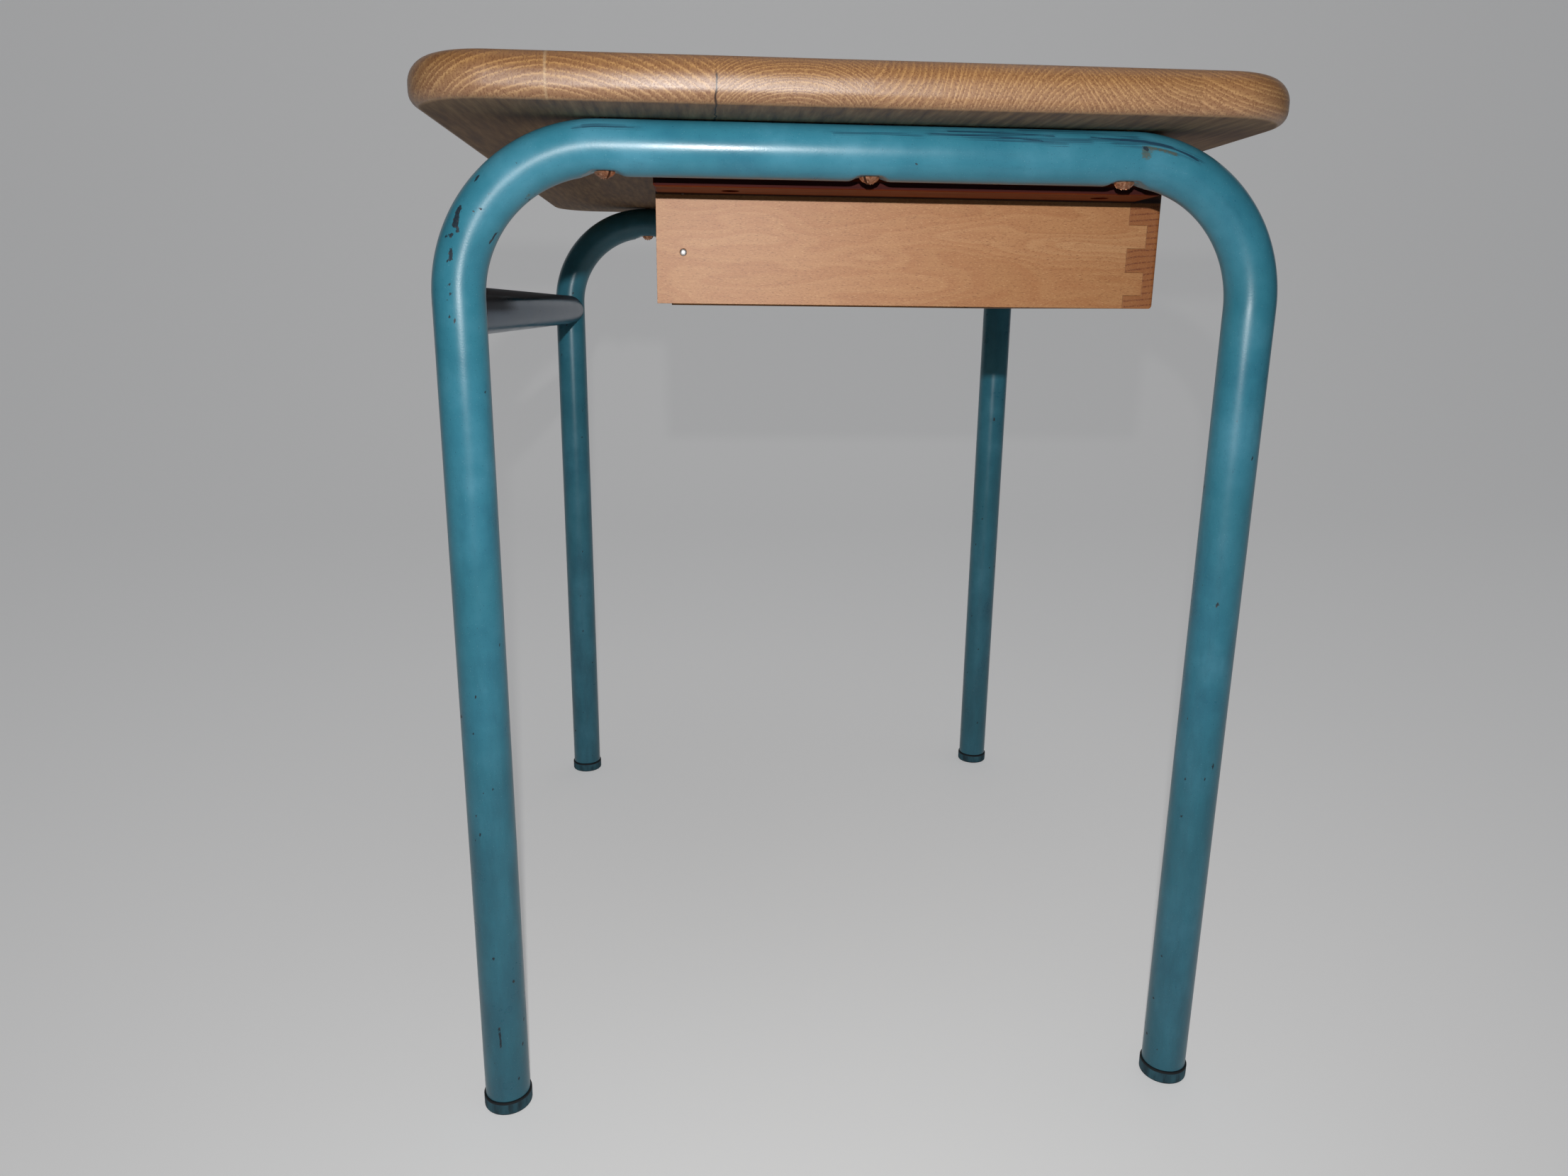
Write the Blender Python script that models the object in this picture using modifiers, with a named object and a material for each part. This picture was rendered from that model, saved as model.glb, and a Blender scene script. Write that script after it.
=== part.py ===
"""A small school desk: an oak top screwed to two bent tube frames, with a wooden drawer hung under it.

Metres, +Z up. X runs along the desk, the child sits at -Y, and the floor is Z = 0.
The drawer slides toward -Y on wooden runners.
"""

import math

import bmesh
import bpy
from mathutils import Matrix, Vector

# Clearances shared by all pieces
seat_gap = 0.0003
cut_overrun = 0.004
weld_distance = 0.00001

# Desktop board
desktop_length = 0.610
desktop_width = 0.437
desktop_thickness = 0.022
desktop_rear_shift = 0.008
desktop_corner_radius = 0.043
desktop_top_edge_radius = 0.007
desktop_bottom_edge_radius = 0.004

# End frames of bent tube, set in from the ends and the long edges of the desktop
frame_end_inset = 0.0505
leg_edge_inset = 0.0075
frame_height = 0.5725
tube_diameter = 0.027
tube_wall = 0.0015
bend_radius = 0.075

# Dimples pressed in the underside of each crossbar, for the screws
frame_screw_bend_margin = 0.001
dimple_depth = 0.0021
dimple_half_length = 0.011
dimple_flat_share = 0.46
dimple_ring_shares = (0.0, 0.46, 0.64, 0.82, 1.0)

# Frame screws, wood screws with raised countersunk heads
frame_screw_head_radius = 0.0050
frame_screw_dome_height = 0.0017
frame_screw_cone_height = 0.0026
frame_screw_shank_radius = 0.0021
frame_screw_length = 0.041
frame_screw_tip_length = 0.006

# Rear stretcher
stretcher_diameter = 0.026
stretcher_wall = 0.0015
stretcher_drop = 0.094

# Foot plugs
foot_rim_radius = 0.0145
foot_disc_height = 0.009
foot_edge_radius = 0.0015
foot_spigot_length = 0.020
foot_spigot_clearance = 0.0012
foot_rib_height = 0.0008
foot_rib_count = 3

# Drawer runners
runner_frame_offset = 0.016
runner_width = 0.040
runner_height = 0.0295
runner_ledge_width = 0.0125
runner_ledge_thickness = 0.0145
runner_stop_length = 0.006
runner_edge_radius = 0.0012
runner_screw_front_distance = 0.027
runner_screw_rear_distance = 0.041
runner_screw_from_outer_face = 0.019
runner_counterbore_radius = 0.0050
runner_counterbore_depth = 0.009

# Runner screws
runner_screw_head_radius = 0.0040
runner_screw_dome_height = 0.0009
runner_screw_cone_height = 0.0024
runner_screw_shank_radius = 0.0019
runner_screw_length = 0.032
runner_screw_tip_length = 0.005

# Drawer
drawer_length = 0.2915
drawer_height = 0.0866
drawer_front_setback = 0.0305
drawer_headroom = 0.0022
drawer_side_clearance = 0.001
drawer_travel = 0.200
front_thickness = 0.018
front_lap = 0.007
front_edge_radius = 0.0028
front_upright_edge_radius = 0.0010
side_thickness = 0.012
back_thickness = 0.014
back_inset = 0.008
back_top_drop = 0.008
bottom_thickness = 0.004
bottom_groove_height = 0.008
bottom_groove_depth = 0.005
bottom_groove_clearance = 0.0003

# Half-blind finger joint between the drawer's front and its sides
joint_end_pin_height = 0.0072
joint_finger_count = 3

# Half-moon finger grip in the top edge of the drawer's front
grip_width = 0.090
grip_depth = 0.018

# Cleats on the drawer's sides
cleat_width = 0.0115

# Nails through the sides into the back
nail_head_radius = 0.0019
nail_head_thickness = 0.0007
nail_shank_radius = 0.0009
nail_length = 0.030
nail_tip_length = 0.003
nail_first_height = 0.028
nail_spacing = 0.033

# Cleat screws, from inside the drawer
cleat_screw_head_radius = 0.0036
cleat_screw_dome_height = 0.0004
cleat_screw_cone_height = 0.0022
cleat_screw_shank_radius = 0.0016
cleat_screw_length = 0.0195
cleat_screw_tip_length = 0.003
cleat_screw_end_distance = 0.045

# Counts of facets
tube_bevel_resolution = 8
arc_steps = 8
turned_steps = 16
cutter_steps = 24

# Places of the points round a screw's dome and a foot's rounded rim, in quarter turns
dome_shares = (0.35, 0.7, 1.0)
foot_edge_shares = (0.0, 0.5, 1.0)

# Places that follow from the sizes
tube_radius = tube_diameter / 2
crossbar_axis_height = frame_height - tube_radius
stretcher_height = frame_height - stretcher_drop
desktop_underside = frame_height + seat_gap
desktop_top = desktop_underside + desktop_thickness
desktop_front = desktop_rear_shift - desktop_width / 2
leg_end_height = foot_disc_height + seat_gap
half_frame_spacing = desktop_length / 2 - frame_end_inset
half_leg_spacing = desktop_width / 2 - leg_edge_inset
straight_half_length = half_leg_spacing - bend_radius
frame_screw_spacing = straight_half_length - frame_screw_bend_margin

runner_outer_x = half_frame_spacing - runner_frame_offset
runner_inner_x = runner_outer_x - runner_width
runner_top = desktop_underside - seat_gap
runner_bottom = runner_top - runner_height
ledge_top = runner_bottom + runner_ledge_thickness

drawer_front_y = desktop_front + drawer_front_setback
drawer_back_y = drawer_front_y + drawer_length
drawer_top = desktop_underside - drawer_headroom
drawer_bottom = drawer_top - drawer_height
drawer_half_width = runner_inner_x - drawer_side_clearance
front_inner_y = drawer_front_y + front_thickness
lap_inner_y = drawer_front_y + front_lap
side_inner_x = drawer_half_width - side_thickness
finger_height = (drawer_height - joint_end_pin_height) / (2 * joint_finger_count)

runner_front_y = front_inner_y
runner_rear_y = drawer_back_y
cleat_rear_y = runner_rear_y - runner_stop_length - seat_gap
cleat_bottom = ledge_top + seat_gap

ENDS = {"left": -1, "right": 1}
FEET = {"front": -1, "rear": 1}


# Scene set-up: an empty scene, one collection for the pieces and one for the cutters

for old in list(bpy.data.objects):
    bpy.data.objects.remove(old, do_unlink=True)

parts = bpy.data.collections.new("school_desk")
cutters = bpy.data.collections.new("cutters")
bpy.context.scene.collection.children.link(parts)
bpy.context.scene.collection.children.link(cutters)


def new_material(name, colour, roughness, metallic=0.0):
    """A Principled material in plain linear colour."""
    material = bpy.data.materials.new(name)
    material.use_nodes = True
    shader = material.node_tree.nodes["Principled BSDF"]
    shader.inputs["Base Color"].default_value = (*colour, 1.0)
    shader.inputs["Roughness"].default_value = roughness
    shader.inputs["Metallic"].default_value = metallic
    return material


oak = new_material("varnished_oak", (0.47, 0.24, 0.09), 0.35)
beech = new_material("varnished_beech", (0.56, 0.31, 0.15), 0.42)
plywood = new_material("plywood", (0.52, 0.36, 0.20), 0.60)
dark_wood = new_material("brown_varnished_wood", (0.16, 0.065, 0.03), 0.40)
enamel = new_material("teal_enamel", (0.045, 0.22, 0.29), 0.30)
foot_plastic = new_material("foot_plastic", (0.05, 0.17, 0.21), 0.45)
plated_steel = new_material("plated_steel", (0.62, 0.62, 0.60), 0.18, 1.0)
screw_brass = new_material("screw_brass", (0.48, 0.25, 0.12), 0.40, 1.0)
nail_steel = new_material("nail_steel", (0.30, 0.27, 0.24), 0.45, 1.0)


def add_object(name, mesh, material, location=(0, 0, 0), collection=parts, parent=None):
    """Links a mesh as an object; a piece with a parent is still placed by its world location."""
    obj = bpy.data.objects.new(name, mesh)
    collection.objects.link(obj)
    if material:
        mesh.materials.append(material)
    obj.location = location
    if parent:
        obj.parent = parent
        obj.location = Vector(location) - parent.location
    return obj


def add_cutter(name, mesh, location=(0, 0, 0)):
    """A helper that only cuts: drawn as wire and left out of renders."""
    obj = add_object(name, mesh, None, location, cutters)
    obj.hide_render = True
    obj.display_type = "WIRE"
    return obj


def cut(obj, *tools):
    """Subtracts each cutter from the object."""
    for tool in tools:
        boolean = obj.modifiers.new("cut_" + tool.name, "BOOLEAN")
        boolean.operation = "DIFFERENCE"
        boolean.object = tool


def shade_round(obj, angle=math.radians(32)):
    """Smooth shading that keeps real corners sharp."""
    obj.data.shade_smooth()
    obj.data.set_sharp_from_angle(angle=angle)


def box_mesh(name, size):
    """A box centred on its own origin."""
    mesh = bpy.data.meshes.new(name)
    bm = bmesh.new()
    bmesh.ops.create_cube(bm, size=1.0)
    bmesh.ops.scale(bm, vec=size, verts=bm.verts)
    bm.to_mesh(mesh)
    bm.free()
    return mesh


def corners(low, high):
    """The centre and the size of a box given by two opposite corners."""
    low, high = Vector(low), Vector(high)
    lowest = Vector(map(min, low, high))
    highest = Vector(map(max, low, high))
    return (lowest + highest) / 2, highest - lowest


def add_box(name, low, high, material, parent=None):
    """A squared board between two corners."""
    centre, size = corners(low, high)
    return add_object(name, box_mesh(name, size), material, centre, parent=parent)


def add_box_cutter(name, low, high):
    """A cutting box between two corners."""
    centre, size = corners(low, high)
    return add_cutter(name, box_mesh(name, size), centre)


def add_bar_cutter(name, radius, length, centre, axis, steps=cutter_steps):
    """A cutting cylinder of this length, along the given axis."""
    mesh = bpy.data.meshes.new(name)
    bm = bmesh.new()
    bmesh.ops.create_cone(bm, cap_ends=True, segments=steps, radius1=radius, radius2=radius, depth=length)
    bm.to_mesh(mesh)
    bm.free()
    obj = add_cutter(name, mesh, centre)
    obj.rotation_mode = "QUATERNION"
    obj.rotation_quaternion = Vector((0, 0, 1)).rotation_difference(Vector(axis))
    return obj


def turned_mesh(name, profile):
    """The profile's points (radius, height), from its top down its outer side, as a line of edges."""
    mesh = bpy.data.meshes.new(name)
    points = [(radius, 0, height) for radius, height in profile]
    mesh.from_pydata(points, [(i, i + 1) for i in range(len(points) - 1)], [])
    return mesh


def turn(obj, steps):
    """Spins the profile once about its own Z axis."""
    screw = obj.modifiers.new("turned", "SCREW")
    screw.steps = steps
    screw.render_steps = steps
    screw.use_merge_vertices = True
    screw.merge_threshold = weld_distance
    screw.use_smooth_shade = True
    return obj


def offset_profile(profile, distance):
    """The profile grown outwards by this distance, with its ends kept on the axis."""
    points = [Vector(point) for point in profile]
    normals = []
    for start, end in zip(points, points[1:]):
        along = (end - start).normalized()
        normals.append(Vector((-along.y, along.x)))
    grown = [points[0] + Vector((0, distance))]
    for before, after, point in zip(normals, normals[1:], points[1:-1]):
        middle = before + after
        grown.append(point + middle * (2 * distance / middle.length_squared))
    grown.append(points[-1] - Vector((0, distance)))
    return [(max(point.x, 0.0), point.y) for point in grown]


def screw_profile(head_radius, dome_height, cone_height, shank_radius, length, tip_length):
    """A wood screw from its tip down to its raised head; height 0 is the rim of the head."""
    dome = []
    for share in dome_shares:
        angle = share * math.pi / 2
        dome.append((head_radius * math.cos(angle), -dome_height * math.sin(angle)))
    dome[-1] = (0.0, -dome_height)
    shank = [(0.0, length), (shank_radius, length - tip_length), (shank_radius, cone_height)]
    return shank + [(head_radius, 0.0)] + dome


def nail_profile():
    """A round nail from its tip down to its flat head; height 0 is the top of the head."""
    return [
        (0.0, nail_length),
        (nail_shank_radius, nail_length - nail_tip_length),
        (nail_shank_radius, nail_head_thickness),
        (nail_head_radius, nail_head_thickness),
        (nail_head_radius, 0.0),
        (0.0, 0.0),
    ]


def add_turned(name, profile, material, location, axis=(0, 0, 1), steps=turned_steps, parent=None):
    """A turned piece whose own Z axis points along the given axis."""
    obj = add_object(name, turned_mesh(name, profile), material, location, parent=parent)
    obj.rotation_mode = "QUATERNION"
    obj.rotation_quaternion = Vector((0, 0, 1)).rotation_difference(Vector(axis))
    return turn(obj, steps)


def add_fastener_cutter(name, profile, location, axis=(0, 0, 1), mouth_length=0.0):
    """The space a fastener takes: its profile grown by the seat gap, with a mouth behind the head."""
    grown = offset_profile(profile, seat_gap)
    widest = max(radius for radius, height in grown)
    if mouth_length:
        rim = [point for point in grown if point[0] < widest or point[1] > 0]
        head = next(i for i, point in enumerate(grown) if point[0] == widest)
        rim = grown[: head + 1]
        grown = rim + [(widest, -mouth_length), (0.0, -mouth_length)]
    obj = add_cutter(name, turned_mesh(name, grown), location)
    obj.rotation_mode = "QUATERNION"
    obj.rotation_quaternion = Vector((0, 0, 1)).rotation_difference(Vector(axis))
    return turn(obj, turned_steps)


# Desktop: one oak board with rounded corners, its top edge rounder than its bottom edge


def board_mesh(name, size, corner_radius, top_share, bottom_share):
    """A board with rounded corners; its rims carry the bevel weights of their own edge radii."""
    mesh = bpy.data.meshes.new(name)
    bm = bmesh.new()
    bmesh.ops.create_cube(bm, size=1.0)
    bmesh.ops.scale(bm, vec=size, verts=bm.verts)
    uprights = [edge for edge in bm.edges if edge.verts[0].co.z * edge.verts[1].co.z < 0]
    bmesh.ops.bevel(bm, geom=uprights, offset=corner_radius, segments=arc_steps, profile=0.5, affect="EDGES")
    weight = bm.edges.layers.float.new("bevel_weight_edge")
    for edge in bm.edges:
        first, second = edge.verts
        if first.co.z * second.co.z > 0:
            edge[weight] = top_share if first.co.z > 0 else bottom_share
    bm.to_mesh(mesh)
    bm.free()
    return mesh


desktop = add_object(
    "desktop",
    board_mesh(
        "desktop",
        (desktop_length, desktop_width, desktop_thickness),
        desktop_corner_radius,
        1.0,
        desktop_bottom_edge_radius / desktop_top_edge_radius,
    ),
    oak,
    (0, desktop_rear_shift, desktop_underside + desktop_thickness / 2),
)
shade_round(desktop)
rounding = desktop.modifiers.new("edge_rounding", "BEVEL")
rounding.limit_method = "WEIGHT"
rounding.width = desktop_top_edge_radius
rounding.segments = 4


# End frames: one bent tube each, with three dimples pressed into the crossbar's underside


def screw_places():
    """Where the frame screws stand along the crossbar."""
    return [step * frame_screw_spacing for step in (-1, 0, 1)]


def crossbar_axis(y):
    """Height of the tube's axis over this place, straight in the middle and falling round the bends."""
    into_bend = abs(y) - straight_half_length
    if into_bend <= 0:
        return crossbar_axis_height
    return crossbar_axis_height - bend_radius + math.sqrt(max(bend_radius**2 - into_bend**2, 0.0))


def frame_stations():
    """Places along Y for the tube's rings: even turns round the bends, closer rings at the dimples."""
    at_dimples = set()
    for middle in screw_places():
        for share in dimple_ring_shares:
            for side in (-1, 1):
                at_dimples.add(middle + side * share * dimple_half_length)
    round_bends = []
    for step in range(arc_steps + 1):
        y = straight_half_length + bend_radius * math.sin(step / arc_steps * math.pi / 2)
        round_bends += [y, -y]
    clear = dimple_half_length * (dimple_ring_shares[-1] - dimple_ring_shares[-2])
    apart = [y for y in round_bends if min(abs(y - place) for place in at_dimples) > clear]
    ends = [-half_leg_spacing, half_leg_spacing]
    return sorted(at_dimples | set(apart) | set(ends))


def dimple_floor(y):
    """How high the pressed floor stands above the crossbar's underside at this place."""
    nearest = min(abs(y - place) for place in screw_places())
    share = (dimple_half_length - nearest) / (dimple_half_length * (1 - dimple_flat_share))
    share = min(max(share, 0.0), 1.0)
    return dimple_depth * share * share * (3 - 2 * share)


def tube_mesh(name, points, radius):
    """An open-ended round tube along the points, made by a bevelled curve."""
    curve = bpy.data.curves.new(name, "CURVE")
    curve.dimensions = "3D"
    curve.bevel_depth = radius
    curve.bevel_resolution = tube_bevel_resolution
    spline = curve.splines.new("POLY")
    spline.points.add(len(points) - 1)
    for point, place in zip(spline.points, points):
        point.co = (*place, 1.0)
    guide = bpy.data.objects.new(name + "_path", curve)
    parts.objects.link(guide)
    graph = bpy.context.evaluated_depsgraph_get()
    mesh = bpy.data.meshes.new_from_object(guide.evaluated_get(graph))
    mesh.name = name
    bpy.data.objects.remove(guide)
    bpy.data.curves.remove(curve)
    bm = bmesh.new()
    bm.from_mesh(mesh)
    bmesh.ops.remove_doubles(bm, verts=bm.verts, dist=weld_distance)
    bm.to_mesh(mesh)
    bm.free()
    mesh.materials.clear()
    return mesh


def add_wall(obj, thickness):
    """Gives an open tube its wall, inwards."""
    wall = obj.modifiers.new("wall", "SOLIDIFY")
    wall.thickness = thickness
    wall.offset = -1.0
    wall.use_even_offset = True


def frame_mesh(name):
    """The bent tube with its dimples pressed in, centred on the frame's own plane."""
    stations = frame_stations()
    path = [(0, stations[0], leg_end_height)]
    path += [(0, y, crossbar_axis(y)) for y in stations]
    path.append((0, stations[-1], leg_end_height))
    mesh = tube_mesh(name, path, tube_radius)
    underside = crossbar_axis_height - tube_radius
    for vertex in mesh.vertices:
        below_axis = crossbar_axis(vertex.co.y) - vertex.co.z
        pressed = dimple_floor(vertex.co.y)
        if pressed and 0 < below_axis:
            vertex.co.z = max(vertex.co.z, underside + pressed)
    return mesh


frame_screw_shape = screw_profile(
    frame_screw_head_radius,
    frame_screw_dome_height,
    frame_screw_cone_height,
    frame_screw_shank_radius,
    frame_screw_length,
    frame_screw_tip_length,
)
dimple_floor_height = crossbar_axis_height - tube_radius + dimple_depth
frame_screw_rim_height = dimple_floor_height - seat_gap / 2

for end_name, end in ENDS.items():
    frame_x = end * half_frame_spacing
    leg_frame = add_object(end_name + "_leg_frame", frame_mesh(end_name + "_leg_frame"), enamel, (frame_x, 0, 0))
    add_wall(leg_frame, tube_wall)
    shade_round(leg_frame)
    for number, place in enumerate(screw_places(), start=1):
        name = f"{end_name}_frame_screw_{number}"
        seat = (frame_x, place, frame_screw_rim_height)
        add_turned(name, frame_screw_shape, screw_brass, seat)
        hole = add_fastener_cutter(name + "_space", frame_screw_shape, seat)
        cut(leg_frame, hole)
        cut(desktop, hole)


# Foot plugs: a turned disc under the tube's end, with a ribbed spigot up inside it


def foot_profile():
    """The plug from the top of its spigot down to the floor."""
    bore_radius = tube_radius - tube_wall
    core_radius = bore_radius - foot_spigot_clearance
    rib_radius = core_radius + foot_rib_height
    top = foot_disc_height + foot_spigot_length
    chamfer = foot_edge_radius
    profile = [(0.0, top), (core_radius - chamfer, top), (core_radius, top - chamfer)]
    pitch = (foot_spigot_length - chamfer) / (foot_rib_count + 1)
    for number in range(1, foot_rib_count + 1):
        height = top - chamfer - number * pitch
        profile += [(core_radius, height + foot_rib_height), (rib_radius, height), (core_radius, height - foot_rib_height)]
    profile += [(core_radius, foot_disc_height), (foot_rim_radius, foot_disc_height)]
    for share in foot_edge_shares:
        angle = share * math.pi / 2
        radius = foot_rim_radius - foot_edge_radius * (1 - math.cos(angle))
        profile.append((radius, foot_edge_radius * (1 - math.sin(angle))))
    return profile + [(0.0, 0.0)]


for end_name, end in ENDS.items():
    for row_name, row in FEET.items():
        place = (end * half_frame_spacing, row * half_leg_spacing, 0)
        add_turned(f"{end_name}_{row_name}_foot", foot_profile(), foot_plastic, place, steps=2 * arc_steps)


# Stretcher: a plated tube between the rear legs, its ends coped to sit on them

stretcher_path = [(-half_frame_spacing, 0, 0), (0, 0, 0), (half_frame_spacing, 0, 0)]
stretcher = add_object(
    "stretcher_bar",
    tube_mesh("stretcher_bar", stretcher_path, stretcher_diameter / 2),
    plated_steel,
    (0, half_leg_spacing, stretcher_height),
)
add_wall(stretcher, stretcher_wall)
shade_round(stretcher)
for end_name, end in ENDS.items():
    place = (end * half_frame_spacing, half_leg_spacing, stretcher_height)
    length = 2 * (stretcher_diameter + cut_overrun)
    cope = add_bar_cutter(end_name + "_cope", tube_radius + seat_gap, length, place, (0, 0, 1), 2 * cutter_steps)
    cut(stretcher, cope)


# Runners: L-shaped rails under the desktop, screwed up into it through counterbores

runner_screw_shape = screw_profile(
    runner_screw_head_radius,
    runner_screw_dome_height,
    runner_screw_cone_height,
    runner_screw_shank_radius,
    runner_screw_length,
    runner_screw_tip_length,
)
runner_screw_places = {
    "front": runner_front_y + runner_screw_front_distance,
    "rear": runner_rear_y - runner_screw_rear_distance,
}

for end_name, end in ENDS.items():
    name = end_name + "_runner"
    low = (end * runner_inner_x, runner_front_y, runner_bottom)
    high = (end * runner_outer_x, runner_rear_y, runner_top)
    runner = add_box(name, low, high, dark_wood)
    eased = runner.modifiers.new("eased_edges", "BEVEL")
    eased.width = runner_edge_radius
    eased.segments = 2
    rebate_wall = runner_inner_x + runner_ledge_width
    rebate = add_box_cutter(
        name + "_rebate",
        (end * (runner_inner_x - cut_overrun), runner_front_y - cut_overrun, ledge_top),
        (end * rebate_wall, runner_rear_y - runner_stop_length, runner_top + cut_overrun),
    )
    cut(runner, rebate)
    for row_name, place in runner_screw_places.items():
        screw_name = f"{end_name}_runner_screw_{row_name}"
        x = end * (runner_outer_x - runner_screw_from_outer_face)
        seat = (x, place, runner_bottom + runner_counterbore_depth)
        add_turned(screw_name, runner_screw_shape, screw_brass, seat)
        bore_length = runner_counterbore_depth + cut_overrun
        bore_centre = (x, place, seat[2] - bore_length / 2)
        bore = add_bar_cutter(screw_name + "_bore", runner_counterbore_radius, bore_length, bore_centre, (0, 0, 1))
        hole = add_fastener_cutter(screw_name + "_space", runner_screw_shape, seat)
        cut(runner, bore, hole)
        cut(desktop, hole)


# Drawer: half-blind finger joints at the front, a back nailed between the sides, a bottom in grooves

drawer_slide = bpy.data.objects.new("drawer_slide", None)
parts.objects.link(drawer_slide)
drawer_slide.location = (0, drawer_front_y, drawer_bottom)

groove_low_z = drawer_bottom + bottom_groove_height
groove_high_z = groove_low_z + bottom_thickness + 2 * bottom_groove_clearance
groove_half_width = side_inner_x + bottom_groove_depth
groove_front_y = front_inner_y - bottom_groove_depth
groove = add_box_cutter(
    "bottom_groove",
    (-groove_half_width, groove_front_y, groove_low_z),
    (groove_half_width, drawer_back_y + cut_overrun, groove_high_z),
)

drawer_front = add_box(
    "drawer_front",
    (-drawer_half_width, drawer_front_y, drawer_bottom),
    (drawer_half_width, front_inner_y, drawer_top),
    beech,
    drawer_slide,
)


def weigh_front_edges(mesh, long_share, upright_share):
    """Bevel weights on the four edges of the front's outer face: long edges and uprights."""
    bm = bmesh.new()
    bm.from_mesh(mesh)
    weight = bm.edges.layers.float.new("bevel_weight_edge")
    for edge in bm.edges:
        first, second = edge.verts
        if first.co.y < 0 and second.co.y < 0:
            upright = first.co.z * second.co.z < 0
            edge[weight] = upright_share if upright else long_share
    bm.to_mesh(mesh)
    bm.free()


weigh_front_edges(drawer_front.data, 1.0, front_upright_edge_radius / front_edge_radius)
eased = drawer_front.modifiers.new("eased_edges", "BEVEL")
eased.limit_method = "WEIGHT"
eased.width = front_edge_radius
eased.segments = 3

grip_radius = ((grip_width / 2) ** 2 + grip_depth**2) / (2 * grip_depth)
grip = add_bar_cutter(
    "finger_grip",
    grip_radius,
    front_thickness + 2 * cut_overrun,
    (0, drawer_front_y + front_thickness / 2, drawer_top + grip_radius - grip_depth),
    (0, 1, 0),
    4 * cutter_steps,
)
cut(drawer_front, grip, groove)


def finger_levels():
    """Lowest and highest points of each finger of the side, above the half pin at the bottom."""
    first = drawer_bottom + joint_end_pin_height
    lows = [first + 2 * number * finger_height for number in range(joint_finger_count)]
    return [(low, low + finger_height) for low in lows]


def pin_levels():
    """Lowest and highest points of each pin of the front: the spaces between the fingers."""
    fingers = finger_levels()
    lows = [drawer_bottom - cut_overrun] + [high for low, high in fingers]
    highs = [low for low, high in fingers] + [drawer_top + cut_overrun]
    return list(zip(lows, highs))


nail_heights = [drawer_bottom + nail_first_height + number * nail_spacing for number in range(2)]
nail_y = drawer_back_y - back_inset - back_thickness / 2

back_low_z = groove_low_z + bottom_groove_clearance + bottom_thickness + seat_gap
drawer_back = add_box(
    "drawer_back",
    (-(side_inner_x - seat_gap), drawer_back_y - back_inset - back_thickness, back_low_z),
    (side_inner_x - seat_gap, drawer_back_y - back_inset, drawer_top - back_top_drop),
    beech,
    drawer_slide,
)

bottom_half_width = groove_half_width - bottom_groove_clearance
drawer_bottom_panel = add_box(
    "drawer_bottom",
    (-bottom_half_width, groove_front_y + bottom_groove_clearance, groove_low_z + bottom_groove_clearance),
    (bottom_half_width, drawer_back_y - back_inset, groove_high_z - bottom_groove_clearance),
    plywood,
    drawer_slide,
)

cleat_screw_shape = screw_profile(
    cleat_screw_head_radius,
    cleat_screw_dome_height,
    cleat_screw_cone_height,
    cleat_screw_shank_radius,
    cleat_screw_length,
    cleat_screw_tip_length,
)
cleat_front_y = front_inner_y + seat_gap
cleat_screw_places = {
    "front": cleat_front_y + cleat_screw_end_distance,
    "rear": cleat_rear_y - cleat_screw_end_distance,
}

for end_name, end in ENDS.items():
    side_name = end_name + "_drawer_side"
    side = add_box(
        side_name,
        (end * side_inner_x, lap_inner_y + seat_gap, drawer_bottom),
        (end * drawer_half_width, drawer_back_y, drawer_top),
        beech,
        drawer_slide,
    )
    cut(side, groove)
    for number, (low, high) in enumerate(pin_levels(), start=1):
        notch = add_box_cutter(
            f"{side_name}_notch_{number}",
            (end * (side_inner_x - cut_overrun), drawer_front_y - cut_overrun, low - seat_gap),
            (end * (drawer_half_width + cut_overrun), front_inner_y + seat_gap, high + seat_gap),
        )
        cut(side, notch)
    for number, (low, high) in enumerate(finger_levels(), start=1):
        socket = add_box_cutter(
            f"{end_name}_socket_{number}",
            (end * (side_inner_x - seat_gap), lap_inner_y, low),
            (end * (drawer_half_width + cut_overrun), front_inner_y + cut_overrun, high),
        )
        cut(drawer_front, socket)

    cleat_inner_x = drawer_half_width + seat_gap
    cleat = add_box(
        end_name + "_cleat",
        (end * cleat_inner_x, cleat_front_y, cleat_bottom),
        (end * (drawer_half_width + cleat_width), cleat_rear_y, drawer_top),
        beech,
        drawer_slide,
    )
    for row_name, place in cleat_screw_places.items():
        screw_name = f"{end_name}_cleat_screw_{row_name}"
        seat = (end * side_inner_x, place, (cleat_bottom + drawer_top) / 2)
        outwards = (end, 0, 0)
        add_turned(screw_name, cleat_screw_shape, screw_brass, seat, outwards, parent=drawer_slide)
        hole = add_fastener_cutter(screw_name + "_space", cleat_screw_shape, seat, outwards, cut_overrun)
        cut(side, hole)
        cut(cleat, hole)

    for number, height in enumerate(nail_heights, start=1):
        nail_name = f"{end_name}_back_nail_{number}"
        seat = (end * drawer_half_width, nail_y, height)
        inwards = (-end, 0, 0)
        add_turned(nail_name, nail_profile(), nail_steel, seat, inwards, steps=arc_steps, parent=drawer_slide)
        hole = add_fastener_cutter(nail_name + "_space", nail_profile(), seat, inwards, cut_overrun)
        cut(side, hole)
        cut(drawer_back, hole)
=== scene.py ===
import math

import bmesh
import bpy
import numpy as np
from mathutils import Matrix, Vector


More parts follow.
